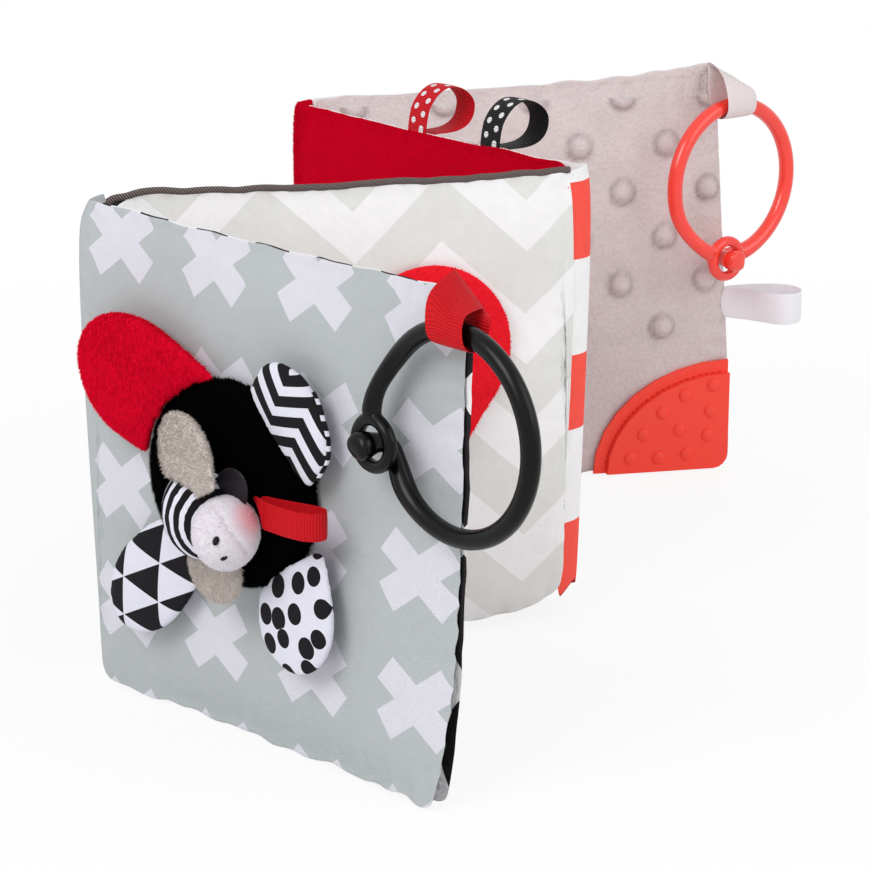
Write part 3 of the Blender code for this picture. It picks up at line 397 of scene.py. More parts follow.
def chevron_print(tree, place):
    parts = put(tree, "SeparateXYZ", {0: place}).outputs
    rise = calc(tree, "DIVIDE", calc(tree, "ABSOLUTE", cell(tree, parts[0], 60.4 * MM, 82.8 * MM)), 30.2 * MM)
    level = calc(tree, "SUBTRACT", parts[2], calc(tree, "MULTIPLY", rise, 27.3 * MM))
    band = calc(tree, "ABSOLUTE", cell(tree, level, 38.9 * MM, 24.5 * MM))
    return tint(tree, calc(tree, "LESS_THAN", band, 8.6 * MM), ink(230, 230, 227), ink(247, 246, 247))


def dot_print(tree, place):
    parts = put(tree, "SeparateXYZ", {0: place}).outputs
    column = calc(tree, "ROUND", calc(tree, "DIVIDE", calc(tree, "SUBTRACT", parts[0], -5 * MM), 46 * MM))
    odd = calc(tree, "ABSOLUTE", calc(tree, "WRAP", column, 1.0, -1.0))
    u = cell(tree, parts[0], 46 * MM, -5 * MM)
    v = cell(tree, calc(tree, "MULTIPLY_ADD", odd, 30 * MM, parts[2]), 60 * MM, 21.2 * MM)
    far = calc(tree, "POWER", calc(tree, "ADD", calc(tree, "POWER", calc(tree, "ABSOLUTE", u), 3.0),
                                   calc(tree, "POWER", calc(tree, "ABSOLUTE", v), 3.0)), 1 / 3)
    return tint(tree, calc(tree, "LESS_THAN", far, 13.3 * MM), ink(246, 245, 246), CORAL)


def bold_print(tree, place):
    """Large black leaf shapes on white."""
    parts = put(tree, "SeparateXYZ", {0: place}).outputs
    u = cell(tree, parts[0], 26 * MM, 2 * MM)
    v = cell(tree, parts[2], 44 * MM, 18 * MM)
    lens = calc(tree, "ADD", calc(tree, "DIVIDE", calc(tree, "ABSOLUTE", u), 9 * MM),
                calc(tree, "POWER", calc(tree, "DIVIDE", v, 18 * MM), 2.0))
    return tint(tree, calc(tree, "LESS_THAN", lens, 1.0), ink(238, 238, 240), NEAR_BLACK)


WOVEN = {"roughness": 0.85, "depth": 0.05 * MM, "shade": 0.04}
PLUSH = {"roughness": 1.0, "depth": 0.35 * MM, "shade": 0.16, "gloss": 0.03}
cross_cloth = finish("cross_cloth_print", weave, on_page(0), cross_print, **WOVEN)
bold_cloth = finish("bold_cloth_print", weave, on_page(0), bold_print, **WOVEN)
chevron_cloth = finish("chevron_cloth_print", weave, on_page(1), chevron_print, **WOVEN)
dotted_cloth = finish("dotted_cloth_print", weave, on_page(2), dot_print, **WOVEN)
plain_cloth = finish("plain_white_cloth", weave, on_page(3), ink(236, 236, 238), **WOVEN)
charcoal_plush = finish("charcoal_plush_pile", pile, as_it_lies, ink(58, 56, 60), **PLUSH)
red_plush = finish("red_plush_pile", pile, as_it_lies, ink(196, 0, 32), **PLUSH)
limb_plush = finish("limb_plush_pile", pile, as_it_lies, ink(218, 8, 44), **PLUSH)
heart_plush = finish("heart_plush_pile", pile, as_it_lies, ink(240, 34, 48), **PLUSH)


def dimple_painted_shade(tree, place):
    """Grey plush with painted shade, darker at the foot of each bump, from the cover's own attribute."""
    painted_crease_shade = put(tree, "Attribute", attribute_name="painted_bump_shade").outputs["Fac"]
    # The second colour is painted shade, not a colour of the plush.
    return tint(tree, painted_crease_shade, ink(216, 204, 204), ink(150, 136, 137))


grey_plush = finish("grey_plush_pile", pile, as_it_lies, dimple_painted_shade, roughness=1.0,
                    depth=0.8 * MM, shade=0.22, gloss=0.03, effect_values={"Length": 1.6 * MM})
white_plush = finish("white_plush_pile", pile, as_it_lies, ink(228, 224, 228), **PLUSH)
black_plush = finish("black_plush_pile", pile, as_it_lies, ink(4, 3, 4), **PLUSH)
taupe_plush = finish("taupe_plush_pile", pile, as_it_lies, ink(197, 188, 182), roughness=1.0,
                     depth=0.2 * MM, shade=0.06, gloss=0.03)

# %% [markdown]
# Every cloth piece starts as a copy of its solid, so that it keeps its place. The copy's loose
# triangles are merged and joined to quads, and a subdivision surface rounds them off.

# %% Copies to dress


def only(piece):
    """Make one object the only selected and active one."""
    bpy.ops.object.select_all(action="DESELECT")
    piece.select_set(True)
    bpy.context.view_layer.objects.active = piece


def copy_of(node, name):
    """A merged copy of a solid, in quads where that is possible."""
    piece = bpy.data.objects.new(name, frame["nodes"][node].data.copy())
    scene.collection.objects.link(piece)
    only(piece)
    bpy.ops.object.mode_set(mode="EDIT")
    bpy.ops.mesh.select_all(action="SELECT")
    bpy.ops.mesh.customdata_custom_splitnormals_clear()
    bpy.ops.mesh.remove_doubles(threshold=0.002 * MM)
    bpy.ops.mesh.tris_convert_to_quads(face_threshold=math.radians(40), shape_threshold=math.radians(70))
    bpy.ops.mesh.mark_sharp(clear=True)
    bpy.ops.object.mode_set(mode="OBJECT")
    piece.data.materials.clear()
    return piece


def rounded(piece, levels):
    """Smooth a piece with a subdivision surface and keep the result."""
    only(piece)
    smooth = piece.modifiers.new("rounding", "SUBSURF")
    smooth.levels = smooth.render_levels = levels
    bpy.ops.object.modifier_apply(modifier=smooth.name)
    bpy.ops.object.shade_smooth()
    return piece


def sculpt(piece, place, move):
    """Move every point of a piece, given in a page's own axes."""
    back = place.inverted()
    for vertex in piece.data.vertices:
        spot = back @ vertex.co
        vertex.co = place @ move(spot)
    piece.data.update()


def dress(piece, body, material, slot, *nodes):
    """Give a piece its finish and its body, if it has one, and hide the solids it stands for."""
    piece.data.materials.append(material)
    if body:
        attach(piece, body)
    if nodes:
        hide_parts(*nodes)
    print(piece.name, len(piece.data.polygons), "faces")
    return piece


# %% [markdown]
# A quilted page is never flat. Its seams pull the cloth into short puckers that run in from the
# edge, and the padding leaves broad shallow dents. Both are made by moving the cloth inwards,
# so that nothing sewn on a page is swallowed by it. The lower edge is a little wavy, the back
# cloth of the first page shows beyond its free side, and the last page's free corner is pulled up.

# %% Puckers and dents
SIDE_FOLDS = {0: (False, True), 1: (True, True), 2: (True, True), 3: (True, False)}


def lump(a, b, c):
    return noise.noise(Vector((a, b, c)))


def pucker_at(away, run, seed):
    """Depth, from 0 to 1, of the nearest short fold that runs in from a seam."""
    steps = run / (8.5 * MM) + 0.6 * lump(run * 45, seed, 0)
    number = math.floor(steps)
    strength = 0.45 + 0.55 * abs(math.sin(number * 12.9 + seed))
    reach = (5 + 7 * abs(math.sin(number * 4.7 + seed * 2))) * MM
    valley = math.exp(-(((steps - number - 0.5) / 0.2) ** 2))
    start = min(1, max(0, away / (2.2 * MM)))
    return strength * valley * start * math.exp(-((away / reach) ** 2))


def puckered(number, side, pucker=1.15 * MM, dent=1.5 * MM):
    """A move for sculpt: seam puckers and padding dents on one face of a page."""
    width = PAGE_WIDTH + (8 * MM if number == 3 else 0)
    left_fold, right_fold = SIDE_FOLDS[number]

    def move(spot):
        seed = 7.3 * number + 3.1 * side
        seams = ((spot.x, spot.z, 0.4 if left_fold else 1),
                 (width - spot.x, spot.z + 1, 0.4 if right_fold else 1),
                 (spot.z, spot.x + 2, 1), (PAGE_TOP - spot.z, spot.x + 3, 1))
        push = 0
        for away, run, share in seams:
            if -1 * MM < away < 22 * MM:
                push -= pucker * share * pucker_at(max(0, away), run, seed + 5 * run // 1)
        away = min(seam[0] for seam in seams)
        inside = min(1, max(0, away / (16 * MM)))
        broad = lump(spot.x / (36 * MM), seed, spot.z / (32 * MM)) - 0.2
        fine = lump(spot.x / (12 * MM), seed + 9, spot.z / (17 * MM)) - 0.15
        push = max(-1.9 * MM, push + dent * (broad + 0.3 * fine) * inside)
        moved = Vector(spot)
        moved.y += side * min(push, 0.15 * MM) * min(1, abs(spot.y) / (1.4 * MM))
        if -0.5 * MM < spot.x < width + 0.5 * MM:
            moved.y = side * max(side * moved.y, 0.45 * side * spot.y, 0.03 * MM)
        edge = 7.3 * number
        low = max(0, 1 - spot.z / (14 * MM))
        above_floor = min(1, spot.z / (0.5 * MM) + 0.6)
        moved.z += low * (0.5 + lump(spot.x / (10 * MM), edge, 0.5)) * 1.9 * MM * above_floor
        high = max(0, 1 - (PAGE_TOP - spot.z) / (9 * MM))
        moved.z -= high * (0.4 + lump(spot.x / (9 * MM), edge + 3, 0.5)) * 0.9 * MM
        if not left_fold:
            wave = 0.4 + lump(spot.z / (9 * MM), edge + 6, 0.5)
            moved.x += max(0, 1 - spot.x / (8 * MM)) * wave * 0.9 * MM
        if number == 0 and side < 0:
            moved.x -= 1.9 * MM * max(0, 1 - spot.x / (7 * MM))
        if number == 3:
            lift = min(1, max(0, (spot.x - 110 * MM) / (50 * MM)))
            moved.z += 2.8 * MM * lift * lift * (spot.z / PAGE_TOP) ** 2
        return moved
    return move


# %% [markdown]
# At each fold the cloth of one cover runs on round the spine to the next page. The cover's edge
# is extruded along a curve round the outer side of the strip and back along its inner side, and
# the row beside it is filled out, so that page and spine are one soft roll.

# %% Cloth round the folds
FOLD_STEPS = 6


def fullness(z):
    """How full the padding is at a height: nothing at both ends, 1 in the middle."""
    share = min(1, max(0, z / PAGE_TOP))
    return math.sqrt(1 - abs(2 * share - 1) ** 5)


def seam_depth(z):
    """How far a cover stands out from its page's middle beside a fold."""
    return (1.2 + 2.3 * fullness(z)) * MM


def fill_out(piece, number, side, at_end):
    """Round up the last few millimetres of a cover beside a fold, and bring it to the hinge."""
    place = pages[number]
    back = place.inverted()
    seam = PAGE_WIDTH if at_end else 0
    for vertex in piece.data.vertices:
        spot = back @ vertex.co
        away = abs(seam - spot.x)
        if away < 9 * MM:
            if abs(spot.y) > 0.7 * MM:
                spot.y = side * max(abs(spot.y), seam_depth(spot.z))
            spot.x += (1 if at_end else -1) * 3.0 * MM * (1 - away / (9 * MM))
            high = max(0, 1 - (PAGE_TOP - spot.z) / (12 * MM))
            if number == 1 and not at_end:
                spot.z -= 3.6 * MM * high * (1 - away / (9 * MM))
            vertex.co = place @ spot


FOLD_FOOT = 13 * MM


def wrap_fold(piece, number, side, at_end, other, bulge, belly, foot, tuck):
    """Carry a cover on round the strip, and tuck it into the cover beyond. other is the page
    there, and which of its ends. belly swells the middle, foot the lower half, and tuck is how
    many millimetres of the end lie in that cover."""
    place = pages[number]
    back = place.inverted()
    near = Vector((PAGE_WIDTH if at_end else 0, 0, 0))
    way = 1 if at_end else -1
    far_page, far_end = other
    far = back @ (pages[far_page] @ Vector((PAGE_WIDTH if far_end else 0, 0, 0)))
    turn = back.to_3x3() @ pages[far_page].to_3x3()
    inward = turn @ Vector((-1 if far_end else 1, 0, 0))
    far_out = turn @ Vector((0, side, 0))
    run = far - near
    outside = Vector((-run.y, run.x, 0)).normalized()
    outside *= math.copysign(1, outside.y * side)
    layer = piece.data.attributes.new("outer_layer", "FLOAT", "POINT")
    level = piece.data.attributes.new("level", "FLOAT", "POINT")
    for vertex in piece.data.vertices:
        spot = back @ vertex.co
        layer.data[vertex.index].value = abs(spot.y) > 0.7 * MM
        level.data[vertex.index].value = spot.z
    for kind in (piece.data.vertices, piece.data.edges, piece.data.polygons):
        kind.foreach_set("select", [False] * len(kind))
    for face in piece.data.polygons:
        facing = (back.to_3x3() @ face.normal).x * way
        face.select = facing > 0.8 and abs((back @ face.center).x - near.x) < 3 * MM
    for step in range(1, FOLD_STEPS + 1):
        only(piece)
        bpy.ops.object.mode_set(mode="EDIT")
        bpy.ops.mesh.extrude_region_move()
        bpy.ops.object.mode_set(mode="OBJECT")
        share = step / FOLD_STEPS
        layer, level = (piece.data.attributes[name] for name in ("outer_layer", "level"))
        for vertex in piece.data.vertices:
            if vertex.select:
                z = level.data[vertex.index].value
                low = max(0, 1 - z / FOLD_FOOT) ** 2
                start = near + Vector((0, side * seam_depth(z), 0))
                swell = 1 - belly + belly * math.sin(math.pi * max(0, z / PAGE_TOP) ** 1.8)
                swell += foot * (0.5 - z / PAGE_TOP)
                height = (1.2 + bulge * fullness(z) * swell) * MM
                middle = near + run / 2 + outside * height * 2
                finish = far + inward * (tuck + 5.0 * foot * low) * MM + far_out * seam_depth(z) * 0.62
                spot = start * (1 - share) ** 2 + middle * 2 * share * (1 - share) + finish * share ** 2
                if layer.data[vertex.index].value < 0.5:
                    spot = near + (far + inward * 1.5 * MM - near) * share - outside * 0.3 * MM
                spot.z = z + foot * 9 * MM * low * math.sin(math.pi * math.sqrt(share))
                vertex.co = place @ spot
    for name in ("outer_layer", "level"):
        piece.data.attributes.remove(piece.data.attributes[name])
    return piece


# %% Page covers
cover_plan = (
    (0, 1, "page_1_front_cover", cross_cloth, "cross_cloth", "page_1_crinkle_film", 4),
    (0, -1, "page_1_back_cover", bold_cloth, "white_cloth", "page_1_wadding", 3),
    (1, 1, "page_2_front_cover", charcoal_plush, "charcoal_plush", "page_2_crinkle_film", 3),
    (1, -1, "page_2_back_cover", chevron_cloth, "chevron_cloth", "page_2_wadding", 4),
    (2, 1, "page_3_front_cover", red_plush, "red_plush", "page_3_crinkle_film", 3),
    (2, -1, "page_3_back_cover", dotted_cloth, "dotted_cloth", "page_3_wadding", 3),
    (3, 1, "page_4_front_cover", plain_cloth, "white_cloth", "page_4_crinkle_film", 3),
    (3, -1, "page_4_back_cover", grey_plush, "grey_plush", "page_4_wadding", 4),
)
folds = {
    "page_1_front_cover": (True, (1, False), 12.0, 0.5, 0.0, 2.0, "fold_strip_1"),
    "page_3_back_cover": (False, (1, True), 7.0, 0.0, 0.6, 4.5, "fold_strip_2"),
    "page_3_front_cover": (True, (3, False), 5.0, 0.4, 0.0, 2.0, "fold_strip_3"),
}
beside_folds = {(0, 1): True, (1, 1): False, (1, -1): True, (2, -1): False, (2, 1): True, (3, 1): False}
covers = {}
for number, side, node, material, slot, filling, levels in cover_plan:
    cover = copy_of(node, node + "_cloth")
    stands_for = [node, filling]
    if (number, side) in beside_folds:
        fill_out(cover, number, side, beside_folds[number, side])
    if node in folds:
        at_end, other, bulge, belly, foot, tuck, strip = folds[node]
        wrap_fold(cover, number, side, at_end, other, bulge, belly, foot, tuck)
        stands_for.append(strip)
    rounded(cover, levels)
    sculpt(cover, pages[number], puckered(number, side))
    body = None if node in folds else f"page_{number + 1}"
    covers[node] = dress(cover, body, material, slot, *stands_for)

# %% [markdown]
# The grey plush of the last page is dimpled: round bumps in columns, every second column set
# half a step lower. Each bump is a steep little hill of 3.6 mm over the plush. An attribute
# marks its foot, where shade is painted into the plush's colour: a dark ring, fuller on the left side.

# %% Bumps of the dimple plush
bump_places = []
for column in range(9):
    x = (123 + 17.8 * (column - 6)) * MM
    for row in range(5):
        z = (116 + 37 * (row - 2) + (18.5 if column % 2 else 0)) * MM
        bump_places.append((x, z))


def nearest_bump(spot):
    """How far a place on the grey cover is from the nearest bump, in bump widths."""
    if spot.y > -0.8 * MM or spot.z > 153 * MM or (spot.x > 112 * MM and spot.z < 52 * MM):
        return 9
    return min(math.hypot(spot.x - x, spot.z - z) for x, z in bump_places) / (4.8 * MM)


def dimpled(spot):
    far = nearest_bump(spot)
    return spot - Vector((0, 3.6 * MM * (1 - far ** 2.8) ** 1.1 if far < 1 else 0, 0))


dimple_cover = covers["page_4_back_cover"]
# The attribute made here is painted shade: a dark ring round the foot of each bump, which darkens the grey plush
# there.
foot = dimple_cover.data.attributes.new("painted_bump_shade", "FLOAT", "POINT")
for vertex in dimple_cover.data.vertices:
    spot = pages[3].inverted() @ vertex.co
    bump = min(bump_places, key=lambda place: math.hypot(spot.x - place[0], spot.z - place[1]))
    # Painted shade: the ring is full on the left side of each bump and a quarter weaker on its right.
    side = 0.75 + 0.25 * (spot.x < bump[0])
    foot.data[vertex.index].value = 0.6 * side * math.exp(-(((nearest_bump(spot) - 1.0) / 0.2) ** 2))
sculpt(dimple_cover, pages[3], dimpled)

# %% [markdown]
# A cover that runs on round a fold lies on its page up to the hinge and on the strip beyond it.
# Its two bodies and the ends of the span round the hinge are kept, and its place is baked in.

# %% Soft covers and their folds
fold_ends = {}
for number, side, node, *_ in cover_plan:
    if node in folds:
        at_end, *_, strip = folds[node]
        hinge = Vector((PAGE_WIDTH if at_end else 0, 0, 0))
        way = Vector((1 if at_end else -1, 0, 0))
        start, end = hinge - way * 5 * MM, hinge + way * 3 * MM
        fold_ends[node] = (f"page_{number + 1}", strip, pages[number] @ start, pages[number] @ end)
        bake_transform(covers[node])

# %% [markdown]
# Plush shows its pile at every outline: short tufts that lie nearly flat. A texture can't do
# that, so each tuft is a thin pyramid of four faces. They are scattered by area with a seeded
# choice, and their lean drifts over the surface as stroked fur does. A big page needs them
# mostly along its edges, where its outline is seen.

# %% Tufts of plush


def scattered(piece, per_mm2, seed, outer, page):
    """Seeded places on a piece, with their normals."""
    mesh = piece.data
    mesh.calc_loop_triangles()
    corners = np.empty(len(mesh.loop_triangles) * 3, np.int32)
    mesh.loop_triangles.foreach_get("vertices", corners)
    corners = corners.reshape(-1, 3)
    points = np.array([vertex.co for vertex in mesh.vertices])
    normals = np.array([normal.vector for normal in mesh.vertex_normals])
    a, b, c = (points[corners[:, k]] for k in range(3))
    facing = np.cross(b - a, c - a)
    weight = np.linalg.norm(facing, axis=1) / 2
    if outer is not None:
        weight = weight * (facing @ np.array(outer) > -0.1 * np.linalg.norm(facing, axis=1))
    if page is not None:
        back = np.array(pages[page].inverted())
        spot = (a + b + c) / 3 @ back[:3, :3].T + back[:3, 3]
        x, z = spot[:, 0], spot[:, 2]
        away = np.minimum(np.minimum(x, PAGE_WIDTH - x), np.minimum(z, PAGE_TOP - z))
        weight = weight * (0.06 + np.exp(-(np.maximum(away, 0) / (4 * MM)) ** 2))
    number = int(weight.sum() / MM ** 2 * per_mm2)
    chance = np.random.default_rng(seed)
    pick = chance.choice(len(corners), number, p=weight / weight.sum())
    u, v = chance.random((2, number, 1))
    u, v = np.where(u + v > 1, 1 - u, u), np.where(u + v > 1, 1 - v, v)
    mix = (1 - u - v, u, v)
    spot = sum(share * points[corners[pick, k]] for k, share in enumerate(mix))
    normal = sum(share * normals[corners[pick, k]] for k, share in enumerate(mix))
    return spot, normal / np.linalg.norm(normal, axis=1)[:, None], chance


def grow_pile(piece, name, body, material, per_mm2, length, width, seed, outer=None, page=None):
    """Cover a piece with tufts. outer keeps them on faces whose normal points its way."""
    spot, normal, chance = scattered(piece, per_mm2, seed, outer, page)
    number = len(spot)
    drift = np.stack([np.sin(spot[:, 2] / (9 * MM) + seed), np.cos(spot[:, 0] / (11 * MM)),
                      np.sin(spot[:, 0] / (7 * MM) + spot[:, 1] / (8 * MM)) - 0.8], 1)
    drift -= normal * np.sum(drift * normal, 1)[:, None]
    lean = normal * 0.42 + drift * 0.62 + (chance.random((number, 3)) - 0.5) * 0.5
    tip = spot + lean * length * (0.6 + 0.5 * chance.random((number, 1)))
    side = np.cross(normal, chance.random((number, 3)) - 0.5)
    side /= np.linalg.norm(side, axis=1)[:, None]
    across = np.cross(normal, side)
    root = spot - normal * 0.12 * MM
    feet = [root + (side * math.cos(turn) + across * math.sin(turn)) * width / 2
            for turn in (0, math.tau / 3, 2 * math.tau / 3)]
    corners = np.stack([*feet, tip], 1).reshape(-1, 3)
    first = np.arange(number)[:, None] * 4
    faces = np.concatenate([first + row for row in ((0, 1, 3), (1, 2, 3), (2, 0, 3), (2, 1, 0))])
    tufts = bpy.data.objects.new(name, bpy.data.meshes.new(name))
    tufts.data.from_pydata(corners.tolist(), [], faces.tolist())
    scene.collection.objects.link(tufts)
    tufts.data.materials.append(material)
    if isinstance(body, str):
        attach(tufts, body)
    else:
        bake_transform(tufts)
    print(name, number, "tufts")


# %% Pile of the two plush pages
for node, material, slot, seed in (("page_2_front_cover", charcoal_plush, "charcoal_plush", 1),
                                   ("page_3_front_cover", red_plush, "red_plush", 2)):
    number = int(node[5]) - 1
    facing = heading_vector(HEADINGS[number] + math.pi / 2)
    body = f"page_{number + 1}" if node not in folds else fold_ends[node]
    grow_pile(covers[node], node + "_pile", body, material, 6, 1.1 * MM, 0.34 * MM, seed,
              facing, number)

# %% [markdown]
# The stuffed pieces are blown up like real ones: the copy is remeshed evenly and smoothed, a
# little air pressure swells it as cloth, a cap keeps it near its solid, and a subdivision rounds
# it off.

# %% Stuffing by air pressure


def stuffed(node, name, voxel, cap, pressure=4.0, levels=1, calm=3, more=()):
    """A padded copy of a solid, or of several as one, swollen as cloth."""
    piece = rounded(copy_of(node, name), 2)
    extra = [copy_of(other, name + "_part") for other in more]
    only(piece)
    for other in extra:
        other.select_set(True)
    if extra:
        bpy.ops.object.join()
    even = piece.modifiers.new("even mesh", "REMESH")
    even.mode = "VOXEL"
    even.voxel_size = voxel
    bpy.ops.object.modifier_apply(modifier=even.name)
    soft = piece.modifiers.new("calm", "SMOOTH")
    soft.factor = 0.5
    soft.iterations = calm
    bpy.ops.object.modifier_apply(modifier=soft.name)
    start = [vertex.co.copy() for vertex in piece.data.vertices]
    cloth = piece.modifiers.new("air", "CLOTH")
    cloth.settings.quality = 4
    cloth.settings.mass = 0.15
    cloth.settings.use_pressure = True
    cloth.settings.uniform_pressure_force = pressure
    cloth.settings.effector_weights.gravity = 0
    for number in range(1, 21):
        scene.frame_set(number)
    seen = piece.evaluated_get(bpy.context.evaluated_depsgraph_get())
    swollen = [vertex.co.copy() for vertex in seen.data.vertices]
    piece.modifiers.remove(cloth)
    for vertex, old, new in zip(piece.data.vertices, start, swollen):
        step = new - old
        if step.length > cap:
            step.length = cap
        vertex.co = old + step
    scene.frame_set(1)
    return rounded(piece, levels)


# %% [markdown]
# Heart and star are flat plush shapes, sewn down on their pages. Their outlines come from the
# solids' own quads, so a subdivision is all that they need before their pile grows.

# %% Heart and star
heart = rounded(copy_of("heart_applique", "plush_heart"), 2)
dress(heart, "page_2", heart_plush, "red_plush", "heart_applique")
grow_pile(heart, "plush_heart_pile", "page_2", heart_plush, 5, 1.1 * MM, 0.34 * MM, 3,
          heading_vector(HEADINGS[1] - math.pi / 2))
star = rounded(copy_of("star_applique", "plush_star"), 2)
dress(star, "page_3", white_plush, "white_plush", "star_applique")
grow_pile(star, "plush_star_pile", "page_3", white_plush, 6, 1.0 * MM, 0.34 * MM, 4,
          heading_vector(HEADINGS[2] + math.pi / 2))

# %% [markdown]
# The animal: a black plush body, a striped head, a white muzzle and limbs in bold prints. Stripes
# of the head are rings round the muzzle. The zigzags run along a slanting axis, and the
# triangles stand in upright columns.

# %% Prints of the animal
muzzle_low, muzzle_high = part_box("critter_muzzle")
muzzle_middle = (muzzle_low + muzzle_high) / 2
PRINT_BLACK = ink(22, 19, 23)
PRINT_WHITE = ink(222, 222, 234)


def forehead_stripes(tree, place):
    far = put(tree, "VectorMath", {0: place, 1: muzzle_middle}, operation="DISTANCE").outputs["Value"]
    wobble = put(tree, "TexNoise", {"Vector": place, "Scale": 300, "Detail": 2}).outputs[0]
    far = calc(tree, "MULTIPLY_ADD", wobble, 1.2 * MM, far)
    band = calc(tree, "ABSOLUTE", cell(tree, far, 4.1 * MM, 1.9 * MM))
    return tint(tree, calc(tree, "LESS_THAN", band, 0.85 * MM), PRINT_BLACK, PRINT_WHITE)


def zigzag_print(tree, place):
    parts = put(tree, "SeparateXYZ", {0: place}).outputs
    tooth = calc(tree, "ABSOLUTE", cell(tree, parts[0], 21.6 * MM, 0.0))
    level = calc(tree, "MULTIPLY_ADD", tooth, -0.6, parts[2])
    band = calc(tree, "ABSOLUTE", cell(tree, level, 7.1 * MM, 0.0))
    return tint(tree, calc(tree, "LESS_THAN", band, 1.9 * MM), PRINT_WHITE, PRINT_BLACK)


def oval_print(tree, place):
    parts = put(tree, "SeparateXYZ", {0: place}).outputs
    flat = put(tree, "CombineXYZ", {0: calc(tree, "MULTIPLY", parts[0], 108.0),
                                    1: calc(tree, "MULTIPLY", parts[2], 125.0)})
    spots = put(tree, "TexVoronoi", {"Vector": flat.outputs[0], "Scale": 1.0, "Randomness": 0.4},
                voronoi_dimensions="2D")
    size = put(tree, "SeparateColor", {0: spots.outputs["Color"]}).outputs[0]
    edge = calc(tree, "MULTIPLY_ADD", size, 0.07, 0.32)
    return tint(tree, calc(tree, "LESS_THAN", spots.outputs["Distance"], edge), PRINT_WHITE, PRINT_BLACK)


def triangle_print(tree, place):
    parts = put(tree, "SeparateXYZ", {0: place}).outputs
    column = calc(tree, "DIVIDE", calc(tree, "SUBTRACT", parts[0], 119 * MM), 15.7 * MM)
    number = calc(tree, "FLOOR", column)
    share = calc(tree, "SUBTRACT", column, number)
    level = calc(tree, "MULTIPLY_ADD", parts[0], 0.08, parts[2])
    level = calc(tree, "MULTIPLY_ADD", number, -6.3 * MM, level)
    far = calc(tree, "ABSOLUTE", cell(tree, level, 12.6 * MM, 69 * MM))
    half = calc(tree, "MULTIPLY_ADD", share, -6.3 * MM, 6.15 * MM)
    return tint(tree, calc(tree, "LESS_THAN", far, half), PRINT_WHITE, PRINT_BLACK)


def local(name):
    """A joint's place in the first page's own axes."""
    return pages[0].inverted() @ hinges[name]


striped_cloth = finish("forehead_stripes", pile, as_it_lies, forehead_stripes,
                       roughness=0.95, depth=0.5 * MM, shade=0.15)
zigzag_axes = on_limb(0, (63 * MM, 0, 117 * MM), 24)
oval_axes = on_limb(0, local("critter_dotted_limb_lift"), 257)
zigzag_cloth = finish("zigzag_limb_print", weave, zigzag_axes, zigzag_print, **WOVEN)
oval_cloth = finish("oval_limb_print", weave, oval_axes, oval_print, **WOVEN)
triangle_cloth = finish("triangle_limb_print", weave, on_page(0), triangle_print, **WOVEN)
dark_satin = finish("dark_satin", weave, as_it_lies, ink(30, 25, 32), roughness=0.42, depth=0.03 * MM, shade=0.05)


def blush(tree, place):
    """White plush that turns pink on one cheek."""
    spot = put(tree, "VectorMath", {0: place, 1: cheek}, operation="DISTANCE").outputs["Value"]
    amount = put(tree, "MapRange", {"Value": spot, "From Min": 1 * MM, "From Max": 8.5 * MM,
                                    "To Min": 0.5, "To Max": 0.0},
                 interpolation_type="SMOOTHSTEP").outputs[0]
    return tint(tree, amount, ink(224, 218, 225), ink(240, 112, 130))


# %% [markdown]
# Each stuffed piece is nudged a few millimetres in its page's plane after swelling, so that the
# limbs lie as they are sewn: pulled towards their tips, not straight as they were cut.

# %% Body, head, limbs and ears


def between(value, low, high):
    return min(1, max(0, (value - low) / (high - low)))


def red_lie(spot):
    out = between(spot.x, 100 * MM, 162 * MM)
    return spot + Vector((2.5 * out, 0, 3.0)) * MM


def zigzag_lie(spot):
    up = between(spot.z, 88 * MM, 121 * MM)
    return spot + Vector((3.0 - up, 0, 7 * up - 3.5)) * MM


def dotted_lie(spot):
    up = between(spot.z, 24 * MM, 66 * MM)
    wide = (spot.x - dotted_middle.x) * 0.08
    return spot + Vector((-3 * up * MM + wide, 0, (3 + 1.5 * up) * MM))


def triangle_lie(spot):
    return spot + Vector((-3.0, 0, 0.5)) * MM


def ear_lie(middle, shift):
    """A wider ear, moved a little in its page's plane."""
    def move(spot):
        step = spot - middle
        return middle + Vector((step.x * 1.15, step.y, step.z * 1.06)) + shift
    return move


def middle_of(node):
    low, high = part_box(node)
    return pages[0].inverted() @ ((low + high) / 2)


dotted_middle = middle_of("critter_dotted_limb")
upper_ear_lie = ear_lie(middle_of("critter_upper_ear"), Vector((0, 0, 0.5 * MM)))
lower_ear_lie = ear_lie(middle_of("critter_lower_ear"), Vector((0, 0, 3.5 * MM)))


def as_cut(spot):
    return spot


critter_plan = (
    ("critter_body_cover", "plush_body", 1.3, 0.4, black_plush, "page_1", 0.8, as_cut),
    ("critter_head", "striped_head", 1.1, 0.4, striped_cloth, "page_1", 0.8, as_cut),
    ("critter_red_limb", "red_limb", 1.2, 0.5, limb_plush, "critter_red_limb", 0.6, red_lie),
    ("critter_zigzag_limb", "zigzag_limb", 1.0, 0.4, zigzag_cloth, "critter_zigzag_limb", 0.5, zigzag_lie),
    ("critter_dotted_limb", "dotted_limb", 1.0, 0.4, oval_cloth, "critter_dotted_limb", 0.5, dotted_lie),
    ("critter_triangle_limb", "triangle_limb", 1.0, 0.4, triangle_cloth, "critter_triangle_limb", 0.5, triangle_lie),
    ("critter_upper_ear", "upper_ear", 1.0, 0.3, taupe_plush, "critter_upper_ear", 0.5, upper_ear_lie),
    ("critter_lower_ear", "lower_ear", 1.0, 0.3, taupe_plush, "critter_lower_ear", 0.5, lower_ear_lie),
)
slots = {row["node"]: row["material_slot"] for row in frame["record"]["subparts"]}
critter = {}
for node, name, voxel, cap, material, body, fill, lie in critter_plan:
    inside = ("critter_body_stuffing",) if node == "critter_body_cover" else ()
    piece = stuffed(node, name, voxel * MM, cap * MM, more=inside)
    sculpt(piece, pages[0], lie)
    critter[name] = dress(piece, body, material, slots[node], node, *inside)

